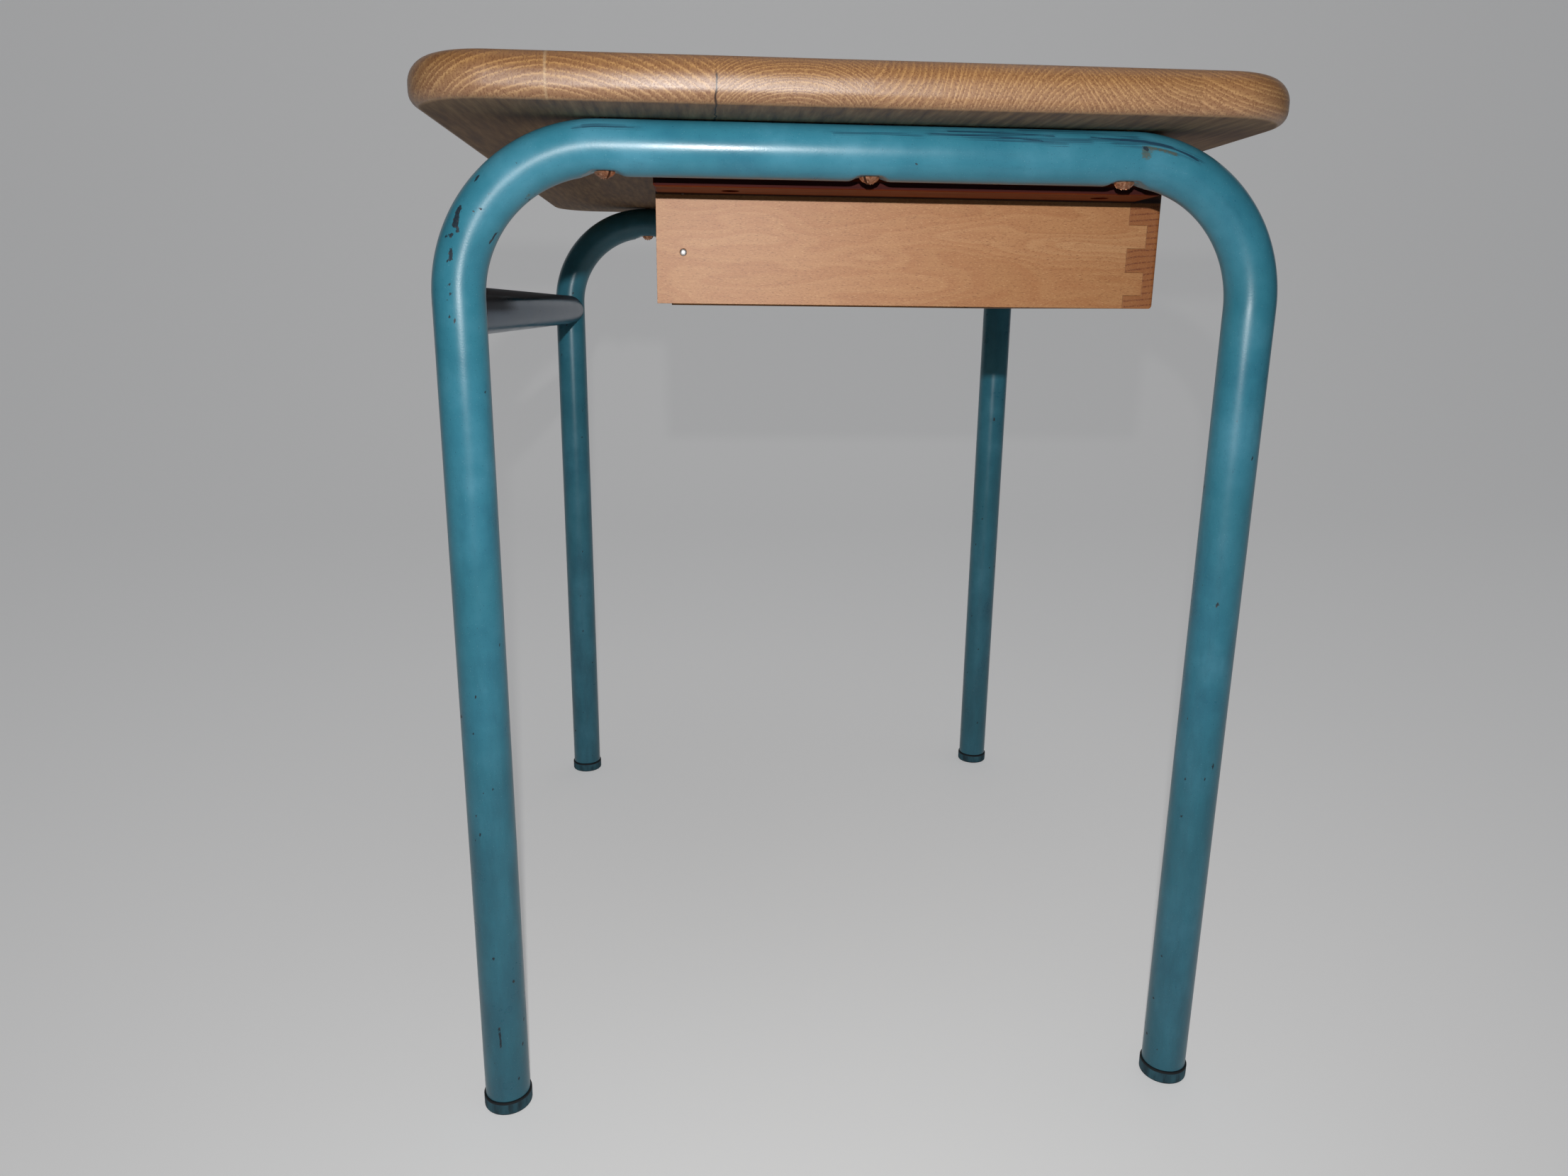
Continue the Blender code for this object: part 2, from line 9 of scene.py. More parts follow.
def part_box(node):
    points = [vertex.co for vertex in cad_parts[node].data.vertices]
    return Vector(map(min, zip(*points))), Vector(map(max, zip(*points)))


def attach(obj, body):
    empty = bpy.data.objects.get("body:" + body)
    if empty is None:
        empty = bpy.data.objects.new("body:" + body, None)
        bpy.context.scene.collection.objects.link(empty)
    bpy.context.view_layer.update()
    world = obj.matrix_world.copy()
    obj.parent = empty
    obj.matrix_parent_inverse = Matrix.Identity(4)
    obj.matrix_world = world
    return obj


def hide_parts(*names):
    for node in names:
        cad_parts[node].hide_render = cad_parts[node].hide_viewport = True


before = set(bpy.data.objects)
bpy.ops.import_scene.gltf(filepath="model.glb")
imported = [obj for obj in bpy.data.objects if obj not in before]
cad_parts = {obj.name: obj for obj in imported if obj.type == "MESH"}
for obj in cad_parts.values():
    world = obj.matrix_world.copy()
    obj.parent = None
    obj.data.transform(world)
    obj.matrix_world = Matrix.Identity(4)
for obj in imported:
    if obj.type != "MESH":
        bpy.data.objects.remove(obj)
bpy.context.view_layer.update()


# Camera
# A wide pocket camera half a metre off the desk's left end and a hand's breadth below the crossbar, turned
# a little towards the child's side and tilted down, with a slight roll. Fitted to the frame's edges.

camera = bpy.data.objects.new("camera", bpy.data.cameras.new("camera"))
bpy.context.scene.collection.objects.link(camera)
camera.data.sensor_fit = "HORIZONTAL"
camera.data.sensor_width = 36
camera.data.lens = 24.771
camera.data.clip_start = 0.01
heading = Matrix.Rotation(math.radians(-94.6737), 4, "Z")
tilt = Matrix.Rotation(math.radians(90 - 14.5103), 4, "X")
roll = Matrix.Rotation(math.radians(0.6408), 4, "Z")
camera.matrix_world = Matrix.Translation((-0.8401, 0.0896, 0.4816)) @ heading @ tilt @ roll
bpy.context.scene.camera = camera


# Leg frames
# Each end is one length of 27 mm steel tube, cold bent to an upside-down U on a 75 mm former, with three
# flats pressed into the crossbar's underside where the screws go up. Brushed with teal gloss enamel over a
# darker coat, which shows where the paint is chipped and where the crossbar has been scraped.

tube_radius = 0.0135
tube_wall = 0.0015
bend_radius = 0.075
dimple_places = np.array([-0.135, 0.0, 0.135])
dimple_depth = 0.0021
dimple_half_length = 0.011
dimple_flat_share = 0.46
dimple_blend = 0.0005
sides = (("left", -1), ("right", 1))
merge_gap = 1e-6


def linear(colour):
    """An sRGB hex colour as linear red, green, blue and 1."""
    values = np.array([int(colour[i : i + 2], 16) for i in (1, 3, 5)]) / 255
    bent = np.where(values <= 0.04045, values / 12.92, ((values + 0.055) / 1.055) ** 2.4)
    return (*bent.tolist(), 1.0)


def feed(owner, socket, value):
    """Gives a socket a number, a hex colour, an output, or a node's first output."""
    if isinstance(value, str):
        value = linear(value)
    if isinstance(value, bpy.types.Node):
        value = value.outputs[0]
    if isinstance(value, bpy.types.NodeSocket):
        owner.node_tree.links.new(value, socket)
    else:
        socket.default_value = value


def add_node(owner, kind, inputs=(), stops=None, **settings):
    """Adds a node to a material or the world. Its inputs are listed in order, or keyed by name or number.
    Stops are a ramp's (place, colour) pairs."""
    node = owner.node_tree.nodes.new("ShaderNode" + kind)
    for name, value in settings.items():
        setattr(node, name, value)
    keyed = inputs if isinstance(inputs, dict) else dict(enumerate(inputs))
    for name, value in keyed.items():
        feed(owner, node.inputs[name], value)
    if stops:
        ramp = node.color_ramp.elements
        while len(ramp) < len(stops):
            ramp.new(1.0)
        for element, (place, colour) in zip(ramp, stops):
            element.position = place
            element.color = linear(colour) if isinstance(colour, str) else colour
    return node


def layered(material, colour, *layers):
    """The colour with each layer, a pair of its share and its own colour, laid over it in turn."""
    for share, over in layers:
        colour = add_node(material, "Mix", {0: share, 6: colour, 7: over}, data_type="RGBA").outputs[2]
    return colour


def drawn_noise(material, place, scale, detail, roughness=0.5):
    """Noise drawn out along one axis: on each, its patches are about 1 / scale metres long."""
    place = add_node(material, "Mapping", {"Vector": place, "Scale": scale})
    settings = {"Vector": place, "Scale": 1.0, "Detail": detail, "Roughness": roughness}
    return add_node(material, "TexNoise", settings)


def new_material(name):
    """An empty material with one Principled shader."""
    material = bpy.data.materials.new(name)
    material.use_nodes = True
    return material


def connect(owner, **sockets):
    """Feeds a material's Principled shader or the world's Background. Underscores stand for the spaces in
    their sockets' names."""
    nodes = owner.node_tree.nodes
    shader = nodes.get("Principled BSDF") or nodes["Background"]
    for name, value in sockets.items():
        feed(owner, shader.inputs[name.replace("_", " ")], value)


def add_piece(name, mesh, material, body, slot, *nodes):
    """Links a finished mesh, rides it on its body and lets it stand for its CAD nodes."""
    mesh.name = name
    obj = bpy.data.objects.new(name, mesh)
    bpy.context.scene.collection.objects.link(obj)
    mesh.materials.clear()
    mesh.materials.append(material)
    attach(obj, body)
    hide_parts(*nodes)
    return obj


def quads(index):
    """Quads between neighbouring point numbers of a (rows, columns) array."""
    corners = [index[:-1, :-1], index[:-1, 1:], index[1:, 1:], index[1:, :-1]]
    return np.stack(corners, -1).reshape(-1, 4)


def smooth_mesh(points, faces, attributes=None, crease=35, outward=False):
    """A mesh shaded smooth, but for edges that turn more than the crease, in degrees. Points that coincide,
    at poles and seams, are merged. Faces are turned outwards where asked."""
    mesh = bpy.data.meshes.new("piece")
    mesh.from_pydata(points, [], faces)
    for key, values in (attributes or {}).items():
        kind, field = ("FLOAT_VECTOR", "vector") if values.ndim == 3 else ("FLOAT", "value")
        layer = mesh.attributes.new(key, kind, "POINT")
        layer.data.foreach_set(field, values.astype(np.float32).ravel())
    bm = bmesh.new()
    bm.from_mesh(mesh)
    bmesh.ops.remove_doubles(bm, verts=bm.verts, dist=merge_gap)
    if outward:
        bmesh.ops.recalc_face_normals(bm, faces=bm.faces)
    bm.to_mesh(mesh)
    bm.free()
    mesh.shade_smooth()
    mesh.set_sharp_from_angle(angle=math.radians(crease))
    return mesh


def grid_mesh(points, close_rows=False, attributes=None):
    """Quads between neighbouring points of a (rows, columns, 3) array whose columns run round a closed loop.
    The rows close too where asked."""
    rows, columns = points.shape[:2]
    index = np.arange(rows * columns).reshape(rows, columns)
    index = np.concatenate([index, index[:, :1]], 1)
    if close_rows:
        index = np.concatenate([index, index[:1]])
    return smooth_mesh(points.reshape(-1, 3), quads(index), attributes)


def smooth_step(value):
    """0 below 0, 1 above 1, and 3v^2 - 2v^3 between them."""
    value = np.clip(value, 0, 1)
    return value * value * (3 - 2 * value)


def box_of(node):
    """The CAD node's low and high corners, and the point midway between them."""
    low, high = (np.array(corner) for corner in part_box(node))
    return low, high, (low + high) / 2


low, high, middle = box_of("left_leg_frame")
frame_x = abs(middle[0])
leg_y = (high[1] - low[1]) / 2 - tube_radius
leg_end_z = low[2]
axis_top_z = high[2] - tube_radius
leg_length = axis_top_z - bend_radius - leg_end_z
bend_length = math.pi / 2 * bend_radius
straight_length = 2 * (leg_y - bend_radius)
tube_length = 2 * (leg_length + bend_length) + straight_length


def tube_centre(along):
    """Centre line of the bent tube: up the front leg, round the bend of fixed radius, along the crossbar,
    round and down. Returns y, z and the tangent's angle above +Y."""
    front = np.clip((along - leg_length) / bend_radius, 0, math.pi / 2)
    crossbar = np.clip(along - leg_length - bend_length, 0, straight_length)
    rear = np.clip((along - leg_length - bend_length - straight_length) / bend_radius, 0, math.pi / 2)
    down = np.clip(along - tube_length + leg_length, 0, leg_length)
    y = -leg_y + bend_radius * (1 - np.cos(front)) + crossbar + bend_radius * np.sin(rear)
    z = leg_end_z + np.clip(along, 0, leg_length) - down
    z = z + bend_radius * (np.sin(front) - (1 - np.cos(rear)))
    return y, z, math.pi / 2 - front - rear


def tube_points(along, around, radius, end):
    """Centre plus radius times (cos of the angle times the outward normal + sin of it times X). The pressed
    flats lift the underside to a floor, blended over half a millimetre."""
    y, z, angle = (values[:, None] for values in tube_centre(along))
    out = radius * np.cos(around)[None]
    side = radius * np.sin(around)[None]
    points = np.empty((len(along), len(around), 3))
    points[..., 0] = end * frame_x + side
    points[..., 1] = y - np.sin(angle) * out
    points[..., 2] = z + np.cos(angle) * out
    gap = np.abs(points[..., 1][..., None] - dimple_places).min(-1)
    rise = smooth_step((dimple_half_length - gap) / (dimple_half_length * (1 - dimple_flat_share)))
    floor = axis_top_z - tube_radius + dimple_depth * rise
    level = points[..., 2]
    lifted = 0.5 * (level + floor + np.sqrt((level - floor) ** 2 + dimple_blend**2 * rise))
    under = (level < z) & (np.abs(points[..., 1]) < leg_y)
    points[..., 2] = np.where(under & (rise > 0), lifted, level)
    return points


mark_reach = 120


def mark_field(along, around, marks):
    """How deep each point lies in the paint marks: 1 on a mark's middle line, 0 at its rim and beyond. A mark
    is its half width in millimetres, then its line's points, each a distance along the tube and degrees round
    it. The depth is 1 less the distance to the nearest stretch of that line over the half width. Only points
    within the reach, in millimetres along the tube, of the line's first point are looked at."""
    run = along[:, None] * 1000
    turn = around[None]
    field = np.zeros((len(along), len(around)))
    for half_width, *line in marks:
        line = [(place * 1000, math.radians(degrees)) for place, degrees in line]
        near = np.flatnonzero(np.abs(run[:, 0] - line[0][0]) < mark_reach)
        part = slice(near[0], near[-1] + 1)
        for first, last in zip(line, line[1:] or line):
            gap = (turn - first[1] + math.pi) % (2 * math.pi) - math.pi
            point = np.stack(np.broadcast_arrays(run[part] - first[0], gap * tube_radius * 1000), -1)
            way = np.array([last[0] - first[0], (last[1] - first[1]) * tube_radius * 1000])
            share = np.clip(point @ way / max(way @ way, 1e-9), 0, 1)
            distance = np.linalg.norm(point - share[..., None] * way, axis=-1)
            field[part] = np.maximum(field[part], 1 - distance / half_width)
    return field


# The marks that show in the left tube's paint, then those of the right one. Most of the left tube's places,
# and a few of the right one's, were picked by eye in the photo, and a scratch program turned them into
# places on the tube, with this camera.
near_chips = [
    (1.9, (0.94, 304), (0.9445, 300), (0.948, 297)), (1.5, (0.944, 297), (0.9475, 291)),
    (1.6, (0.9492, 285)), (1.8, (0.9525, 295)), (1.4, (0.9536, 307)), (1.3, (0.959, 286), (0.963, 281)),
    (1.1, (0.964, 288)), (1.1, (0.924, 314), (0.9262, 311)), (0.9, (0.9408, 204), (0.9443, 207)),
    (0.8, (0.945, 207), (0.9478, 209)), (1.5, (0.9727, 174)), (1.0, (0.9098, 212)), (1.2, (0.9121, 188)),
    (0.8, (0.914, 201)), (0.7, (0.908, 196)), (0.8, (0.9065, 279)), (0.8, (0.9128, 266)),
    (0.9, (0.9261, 268)), (0.9, (0.9345, 264)), (0.8, (0.9373, 272)), (0.9, (0.9954, 225)),
    (0.8, (0.9975, 228)), (0.7, (0.9965, 219)), (1.0, (0.7063, 245)), (0.9, (1.0927, 221)),
    (0.7, (0.7777, 227)), (0.8, (0.7749, 237)), (0.7, (0.7721, 212)), (0.7, (0.7693, 228)),
    (0.7, (0.7679, 238)), (0.8, (0.7763, 211)), (0.7, (0.7707, 210)), (0.7, (0.7735, 220)),
    (0.8, (1.404, 272), (1.417, 271)), (0.9, (0.975, 279)), (0.8, (0.9768, 272)), (1.0, (0.9795, 276)),
    (0.7, (0.9822, 283)), (0.8, (0.985, 274)), (0.9, (0.9902, 280)), (0.7, (0.9925, 270)),
    (1.6, (0.5884, 285), (0.589, 288)), (0.8, (0.3, 240)), (0.9, (0.21, 285), (0.213, 283)),
    (1.0, (1.25, 250)),
]
far_chips = [
    (2.2, (0.3661, 268)), (1.2, (0.9716, 254)), (1.3, (0.9758, 243)), (0.9, (1.0843, 227)),
    (1.4, (0.62, 60)), (1.3, (0.95, 40), (0.956, 44)), (1.1, (0.954, 52)), (1.2, (1.15, 95)),
    (1.3, (0.25, 80)), (1.2, (0.52, 95), (0.524, 99)), (1.0, (0.85, 120)), (1.1, (1.3, 70)),
]
near_scrapes = [
    (3.4, (0.7, 311), (0.6664, 308), (0.6419, 299), (0.6174, 300)), (3.0, (0.6902, 320), (0.6356, 311)),
    (2.8, (0.6832, 307), (0.6566, 299), (0.63, 290)), (3.0, (0.6531, 334), (0.6167, 327), (0.5929, 314)),
    (3.6, (0.6174, 310), (0.5929, 301), (0.574, 297), (0.56, 293)), (1.8, (0.876, 306), (0.844, 307)),
    (1.8, (0.749, 306), (0.7252, 308), (0.7042, 303)), (1.6, (0.872, 313), (0.852, 312)),
    (2.4, (0.6055, 298), (0.5894, 290), (0.5726, 286)),
]
near_gouges = [
    (0.9, (0.7, 310), (0.6664, 306), (0.6419, 298)), (0.9, (0.6902, 319), (0.6538, 316), (0.6356, 311)),
    (1.0, (0.6174, 311), (0.599, 305)), (1.7, (0.601, 306), (0.586, 301), (0.576, 299)),
    (1.3, (0.5789, 300), (0.5691, 296), (0.5615, 293)), (0.9, (0.8722, 306), (0.847, 306)),
]
near_patches = [
    (5.6, (0.588, 275), (0.5884, 278)), (1.6, (0.5894, 290), (0.581, 288), (0.5726, 286)),
    (2.6, (0.911, 205)),
]
far_scrapes = [(3.2, (0.6500, 52), (0.6000, 56), (0.5700, 60)), (2.6, (0.8700, 48), (0.8000, 46))]
far_gouges = [(1.2, (0.6400, 53), (0.6050, 56)), (1.0, (0.8600, 48), (0.8300, 47))]

enamel = new_material("teal_gloss_enamel_brushed_on_steel")
# Patterns follow the tube as if it had never been bent.
unbent = add_node(enamel, "Attribute", attribute_name="unbent").outputs["Vector"]
clouds = add_node(enamel, "TexNoise", {"Vector": unbent, "Scale": 30.0, "Detail": 4.0, "Roughness": 0.6})
teal = add_node(enamel, "ValToRGB", [clouds], [(0.3, "#2F7389"), (0.5, "#388095"), (0.7, "#478CA2")])
# It is greener in some places than in others, over a hand's breadth.
broad = add_node(enamel, "TexNoise", {"Vector": unbent, "Scale": 9.0, "Detail": 2.0})
green_share = add_node(enamel, "MapRange", {0: broad, 1: 0.40, 2: 0.66, 4: 0.55})
# Dark grime on the lower legs, wiped thin in places.
place = add_node(enamel, "TexCoord").outputs["Object"]
above_floor = add_node(enamel, "SeparateXYZ", [place]).outputs["Z"]
low_share = add_node(enamel, "MapRange", [above_floor, 0.42, 0.0, -0.10, 0.20])
grime = drawn_noise(enamel, unbent, (22.0, 90.0, 90.0), 4.0, 0.65)
grime_sum = add_node(enamel, "Math", [grime, low_share], operation="ADD")
grime_mask = add_node(enamel, "MapRange", {0: grime_sum, 1: 0.45, 2: 0.85, 4: 0.55})
# Dust nibs under a millimetre across, some dark with dirt; the pale specks are partly paint rubbed pale and
# partly painted glints.
nibs = add_node(enamel, "TexNoise", {"Vector": unbent, "Scale": 1500.0, "Detail": 1.0})
dark_nibs = add_node(enamel, "MapRange", {0: nibs, 1: 0.67, 2: 0.79, 4: 0.7})
pale_specks_and_glints = add_node(enamel, "MapRange", {0: nibs, 1: 0.28, 2: 0.22, 4: 0.35})
scraped, gouged, patched, chipped = (
    add_node(enamel, "Attribute", attribute_name=mark).outputs["Fac"]
    for mark in ("scraped", "gouged", "patched", "chipped")
)
# Scraped paint: dark lines a quarter of a millimetre wide, drawn out along the crossbar.
streaks = drawn_noise(enamel, unbent, (20.0, 2100.0, 2100.0), 2.0, 0.6)
streak_sum = add_node(enamel, "Math", [scraped, 0.26, streaks], operation="MULTIPLY_ADD")
streak_lines = add_node(enamel, "MapRange", {0: streak_sum, 1: 0.62, 2: 0.76, 4: 0.60})
streak_rim = add_node(enamel, "MapRange", {0: scraped, 2: 0.25})
streak_mask = add_node(enamel, "Math", [streak_lines, streak_rim], operation="MULTIPLY")
gouge_sum = add_node(enamel, "Math", [streaks, 0.9, gouged], operation="MULTIPLY_ADD")
gouge_lines = add_node(enamel, "MapRange", {0: gouge_sum, 1: 0.86, 2: 1.02, 4: 0.9})
gouge_rim = add_node(enamel, "MapRange", [gouged, 0.08, 0.3])
gouge_mask = add_node(enamel, "Math", [gouge_lines, gouge_rim], operation="MULTIPLY")
worn_mask = add_node(enamel, "Math", [streak_mask, gouge_mask], operation="MAXIMUM")
# Places rubbed through to an olive-brown undercoat.
ragged = add_node(enamel, "TexNoise", {"Vector": unbent, "Scale": 800.0, "Detail": 3.0, "Roughness": 0.7})
patch_sum = add_node(enamel, "Math", [ragged, 1.1, patched], operation="MULTIPLY_ADD")
patch_mask = add_node(enamel, "MapRange", {0: patch_sum, 1: 0.95, 2: 1.30, 4: 0.8})
patch_tone = add_node(enamel, "ValToRGB", [ragged], [(0.4, "#42554E"), (0.6, "#5C5A48")])
# Chips down to the old navy coat, with ragged rims, and rust at the deepest.
chip_sum = add_node(enamel, "Math", [ragged, 1.0, chipped], operation="MULTIPLY_ADD")
chip_edge = add_node(enamel, "MapRange", [chip_sum, 0.80, 0.90])
chip_rim = add_node(enamel, "MapRange", [chipped, 0.02, 0.14])
chip_mask = add_node(enamel, "Math", [chip_edge, chip_rim], operation="MULTIPLY")
chip_stops = [(0.38, "#16232F"), (0.60, "#22343F"), (0.70, "#5B4436")]
chip_tone = add_node(enamel, "ValToRGB", [ragged], chip_stops)
finish = layered(
    enamel, teal, (green_share, "#2F7585"), (grime_mask, "#245A6C"), (dark_nibs, "#22536A"),
    (pale_specks_and_glints, "#8DBBC8"), (worn_mask, "#14324A"), (patch_mask, patch_tone), (chip_mask, chip_tone),
)
# Gloss dulled by handling, over the fine ripple of brushed enamel.
dull = add_node(enamel, "MapRange", [clouds, 0.3, 0.7, 0.26, 0.38])
deep = add_node(enamel, "Math", [chip_mask, worn_mask], operation="MAXIMUM")
rough = add_node(enamel, "Mix", {0: deep, 2: dull, 3: 0.6})
ripple = add_node(enamel, "TexNoise", {"Vector": unbent, "Scale": 1300.0, "Detail": 1.0})
height = add_node(enamel, "Math", [chip_mask, -0.8, ripple], operation="MULTIPLY_ADD")
bump = add_node(enamel, "Bump", {"Height": height, "Strength": 0.16, "Distance": 0.00015})
connect(enamel, Base_Color=finish, Roughness=rough, Normal=bump)

leg_rings = 239
bend_rings = 80
crossbar_rings = 182
tube_columns = 96
stretches = [
    np.linspace(0, leg_length, leg_rings),
    leg_length + np.linspace(0, bend_length, bend_rings),
    leg_length + bend_length + np.linspace(0, straight_length, crossbar_rings),
    tube_length - leg_length - np.linspace(bend_length, 0, bend_rings),
    tube_length - np.linspace(leg_length, 0, leg_rings),
]
rings = np.unique(np.round(np.concatenate(stretches), 7))
# The bore, which hardly shows, has every eighth ring, from the rear leg's end back to the front one's.
bore_rings = np.append(rings[:0:-8], 0.0)
round_angles = np.linspace(0, 2 * math.pi, tube_columns, endpoint=False)
# Where each point would be on a straight tube along X.
all_rings = np.concatenate([rings, bore_rings])[:, None]
straight_tube = (all_rings, tube_radius * np.cos(round_angles), tube_radius * np.sin(round_angles))
straight_tube = np.stack(np.broadcast_arrays(*straight_tube), -1)

chip_count = 170
share_near_feet = 0.45
feet_reach = 0.30
smallest_chip = 0.6
largest_chip = 1.5
for side, end, seed, chips, scrapes, gouges, patches in (
    ("left", -1, 11, near_chips, near_scrapes, near_gouges, near_patches),
    ("right", 1, 12, far_chips, far_scrapes, far_gouges, []),
):
    # Small chips scattered by use, more of them near the feet and none on the crossbar.
    chance = np.random.default_rng(seed)
    near_foot = chance.random(chip_count) ** 1.3 * feet_reach
    low_down = chance.random(chip_count) < share_near_feet
    places = np.where(low_down, near_foot, chance.random(chip_count) * tube_length)
    places = np.where(chance.random(chip_count) < 0.5, places, tube_length - places)
    places = places[np.abs(places - tube_length / 2) > straight_length / 2 + bend_length]
    turns = chance.random(chip_count) * 360
    sizes = smallest_chip + chance.random(chip_count) ** 3 * (largest_chip - smallest_chip)
    small_chips = [(size, (place, turn)) for size, place, turn in zip(sizes, places, turns)]
    outer = tube_points(rings, round_angles, tube_radius, end)
    bore = tube_points(bore_rings, round_angles, tube_radius - tube_wall, end)
    in_bore = np.zeros(bore.shape[:2])
    fields = {"unbent": straight_tube + (0, 0, end)}
    marks = {"chipped": chips + small_chips, "scraped": scrapes, "gouged": gouges, "patched": patches}
    for kind, marks_of_kind in marks.items():
        fields[kind] = np.concatenate([mark_field(rings, round_angles, marks_of_kind), in_bore])
    mesh = grid_mesh(np.concatenate([outer, bore]), close_rows=True, attributes=fields)
    add_piece(side + "_tube", mesh, enamel, "desk", "teal_enamel", side + "_leg_frame")


# Feet
# Moulded plastic plugs, each a thick disc under the tube's end with a ribbed spigot driven up inside it.
# They were painted over with the legs, and the lower arris has worn back to the dark plastic.

foot_radius = 0.0145
foot_height = 0.009
foot_low_edge = 0.0016
foot_top_edge = 0.0006
spigot_radius = 0.0108
spigot_length = 0.020
spigot_tip = 0.0015
rib_size = 0.0008

plug = new_material("moulded_foot_plastic_painted_over")
place = add_node(plug, "TexCoord").outputs["Object"]
height = add_node(plug, "SeparateXYZ", [place]).outputs["Z"]
smudges = drawn_noise(plug, place, (170.0, 170.0, 45.0), 3.0, 0.6)
painted = add_node(plug, "ValToRGB", [smudges], [(0.34, "#1D3842"), (0.5, "#2F5866"), (0.7, "#3D6E7C")])
# A thin even dark line runs round the upper rim, and the paint has worn off the arris that scuffs the floor.
spread = add_node(plug, "Math", [smudges, 0.0010, height], operation="MULTIPLY_ADD")
rim = add_node(plug, "MapRange", [spread, 0.0080, 0.0085])
scuff = add_node(plug, "MapRange", {0: spread, 1: 0.0022, 2: 0.0010, 4: 0.85})
dark_marks = add_node(plug, "Math", [rim, scuff], operation="MAXIMUM")
connect(plug, Base_Color=layered(plug, painted, (dark_marks, "#12171B")), Roughness=0.75)


def round_edge(height, edge, start, steps):
    """A quarter turn round the foot's edge: its centre plus its radius times the angle's cosine and sine."""
    angles = np.linspace(start, start + math.pi / 2, steps)
    return [(foot_radius - edge + edge * math.cos(a), height + edge * math.sin(a)) for a in angles]


foot_profile = [(0, 0), (foot_radius - foot_low_edge, 0)]
foot_profile += round_edge(foot_low_edge, foot_low_edge, -math.pi / 2, 6)
foot_profile += round_edge(foot_height - foot_top_edge, foot_top_edge, 0, 4)
foot_profile += [(spigot_radius, foot_height)]
for rib in (1, 2, 3):
    rib_height = foot_height + spigot_length * rib / 4
    foot_profile += [
        (spigot_radius, rib_height - rib_size), (spigot_radius + rib_size, rib_height),
        (spigot_radius, rib_height + rib_size),
    ]
foot_top = foot_height + spigot_length
foot_profile += [(spigot_radius, foot_top - spigot_tip), (spigot_radius - spigot_tip, foot_top)]
foot_profile += [(0, foot_top)]


def turned_points(profile, centre, axis, steps=64):
    """The profile's (radius, height) pairs, from the lower pole up the outside, spun round the axis."""
    profile = np.array(profile)
    axis = np.array(axis, float)
    first = np.cross(axis, (0, 0, 1) if abs(axis[2]) < 0.5 else (0, 1, 0))
    first /= np.linalg.norm(first)
    second = np.cross(axis, first)
    angles = np.linspace(0, 2 * math.pi, steps, endpoint=False)
    ring = np.cos(angles)[:, None] * first + np.sin(angles)[:, None] * second
    return np.array(centre) + profile[:, :1, None] * ring + profile[:, 1:, None] * axis


for side, end in sides:
    for row, sign in (("front", -1), ("rear", 1)):
        name = f"{side}_{row}_foot"
        points = turned_points(foot_profile, (end * frame_x, sign * leg_y, 0), (0, 0, 1))
        add_piece(name + "_plug", grid_mesh(points), plug, "desk", "foot_plastic", name)


# Stretcher
# A 26 mm steel tube between the rear legs, each end coped to the leg's round and brazed. Bright nickel and
# chrome plating, hazed by age, with rust freckles near the ends.

bar_radius = 0.013
weld_gap = 0.0003
bar_columns = 64
bar_rings = 61
middle = box_of("stretcher_bar")[2]
bar_y, bar_z = middle[1:]

chrome = new_material("chrome_plated_steel_hazed")
place = add_node(chrome, "TexCoord").outputs["Object"]
haze = add_node(chrome, "TexNoise", {"Vector": place, "Scale": 25.0, "Detail": 2.0})
plating = add_node(chrome, "ValToRGB", [haze], [(0.35, "#4F565C"), (0.65, "#6D757D")])
freckles = drawn_noise(chrome, place, (90.0, 420.0, 420.0), 3.0, 0.6)
rust_mask = add_node(chrome, "MapRange", [freckles, 0.70, 0.76])
# Painted reflection: a dark band along the top of the bar, for the shadowed wall it would mirror. Real grime
# lies in a smudge on its side by the left leg.
along, _, up = add_node(chrome, "SeparateXYZ", [place]).outputs
smudge = drawn_noise(chrome, place, (12.0, 110.0, 110.0), 2.0)
level = add_node(chrome, "Math", [smudge, 0.002, up], operation="MULTIPLY_ADD")
top_painted_reflection = add_node(chrome, "MapRange", {0: level, 1: 0.4868, 2: 0.4886, 4: 0.85})
by_leg = add_node(chrome, "MapRange", {0: along, 1: -0.14, 2: -0.20, 4: 0.55})
high_up = add_node(chrome, "MapRange", [level, 0.4765, 0.4810])
beside = add_node(chrome, "Math", [by_leg, high_up], operation="MULTIPLY")
# The mask joins the painted reflection along the top and the grime smudge by the leg.
grime = add_node(chrome, "Math", [top_painted_reflection, beside], operation="MAXIMUM")
finish = layered(chrome, plating, (grime, "#524F53"), (rust_mask, "#4E3A2E"))
shine = add_node(chrome, "MapRange", [haze, 0.3, 0.7, 0.13, 0.20])
darkened_rough = add_node(chrome, "Mix", {0: grime, 2: shine, 3: 0.55})
rust_rough = add_node(chrome, "Mix", {0: rust_mask, 2: darkened_rough, 3: 0.7})
metal = add_node(chrome, "MapRange", {0: rust_mask, 3: 1.0, 4: 0.25})
connect(chrome, Base_Color=finish, Roughness=rust_rough, Metallic=metal, Specular_Tint="#B8BEC6")


def bar_points(radius, shares):
    """A round bar along X whose ends follow the legs: at each angle it stops where the leg's cylinder begins,
    at the leg's axis less the root of its radius squared minus the sideways offset squared."""
    angles = np.linspace(0, 2 * math.pi, bar_columns, endpoint=False)
    sideways = radius * np.cos(angles)
    reach = frame_x - np.sqrt((tube_radius + weld_gap) ** 2 - np.minimum(sideways**2, tube_radius**2))
    points = np.empty((len(shares), bar_columns, 3))
    points[..., 0] = shares[:, None] * reach
    points[..., 1] = bar_y + sideways
    points[..., 2] = bar_z + radius * np.sin(angles)
    return points


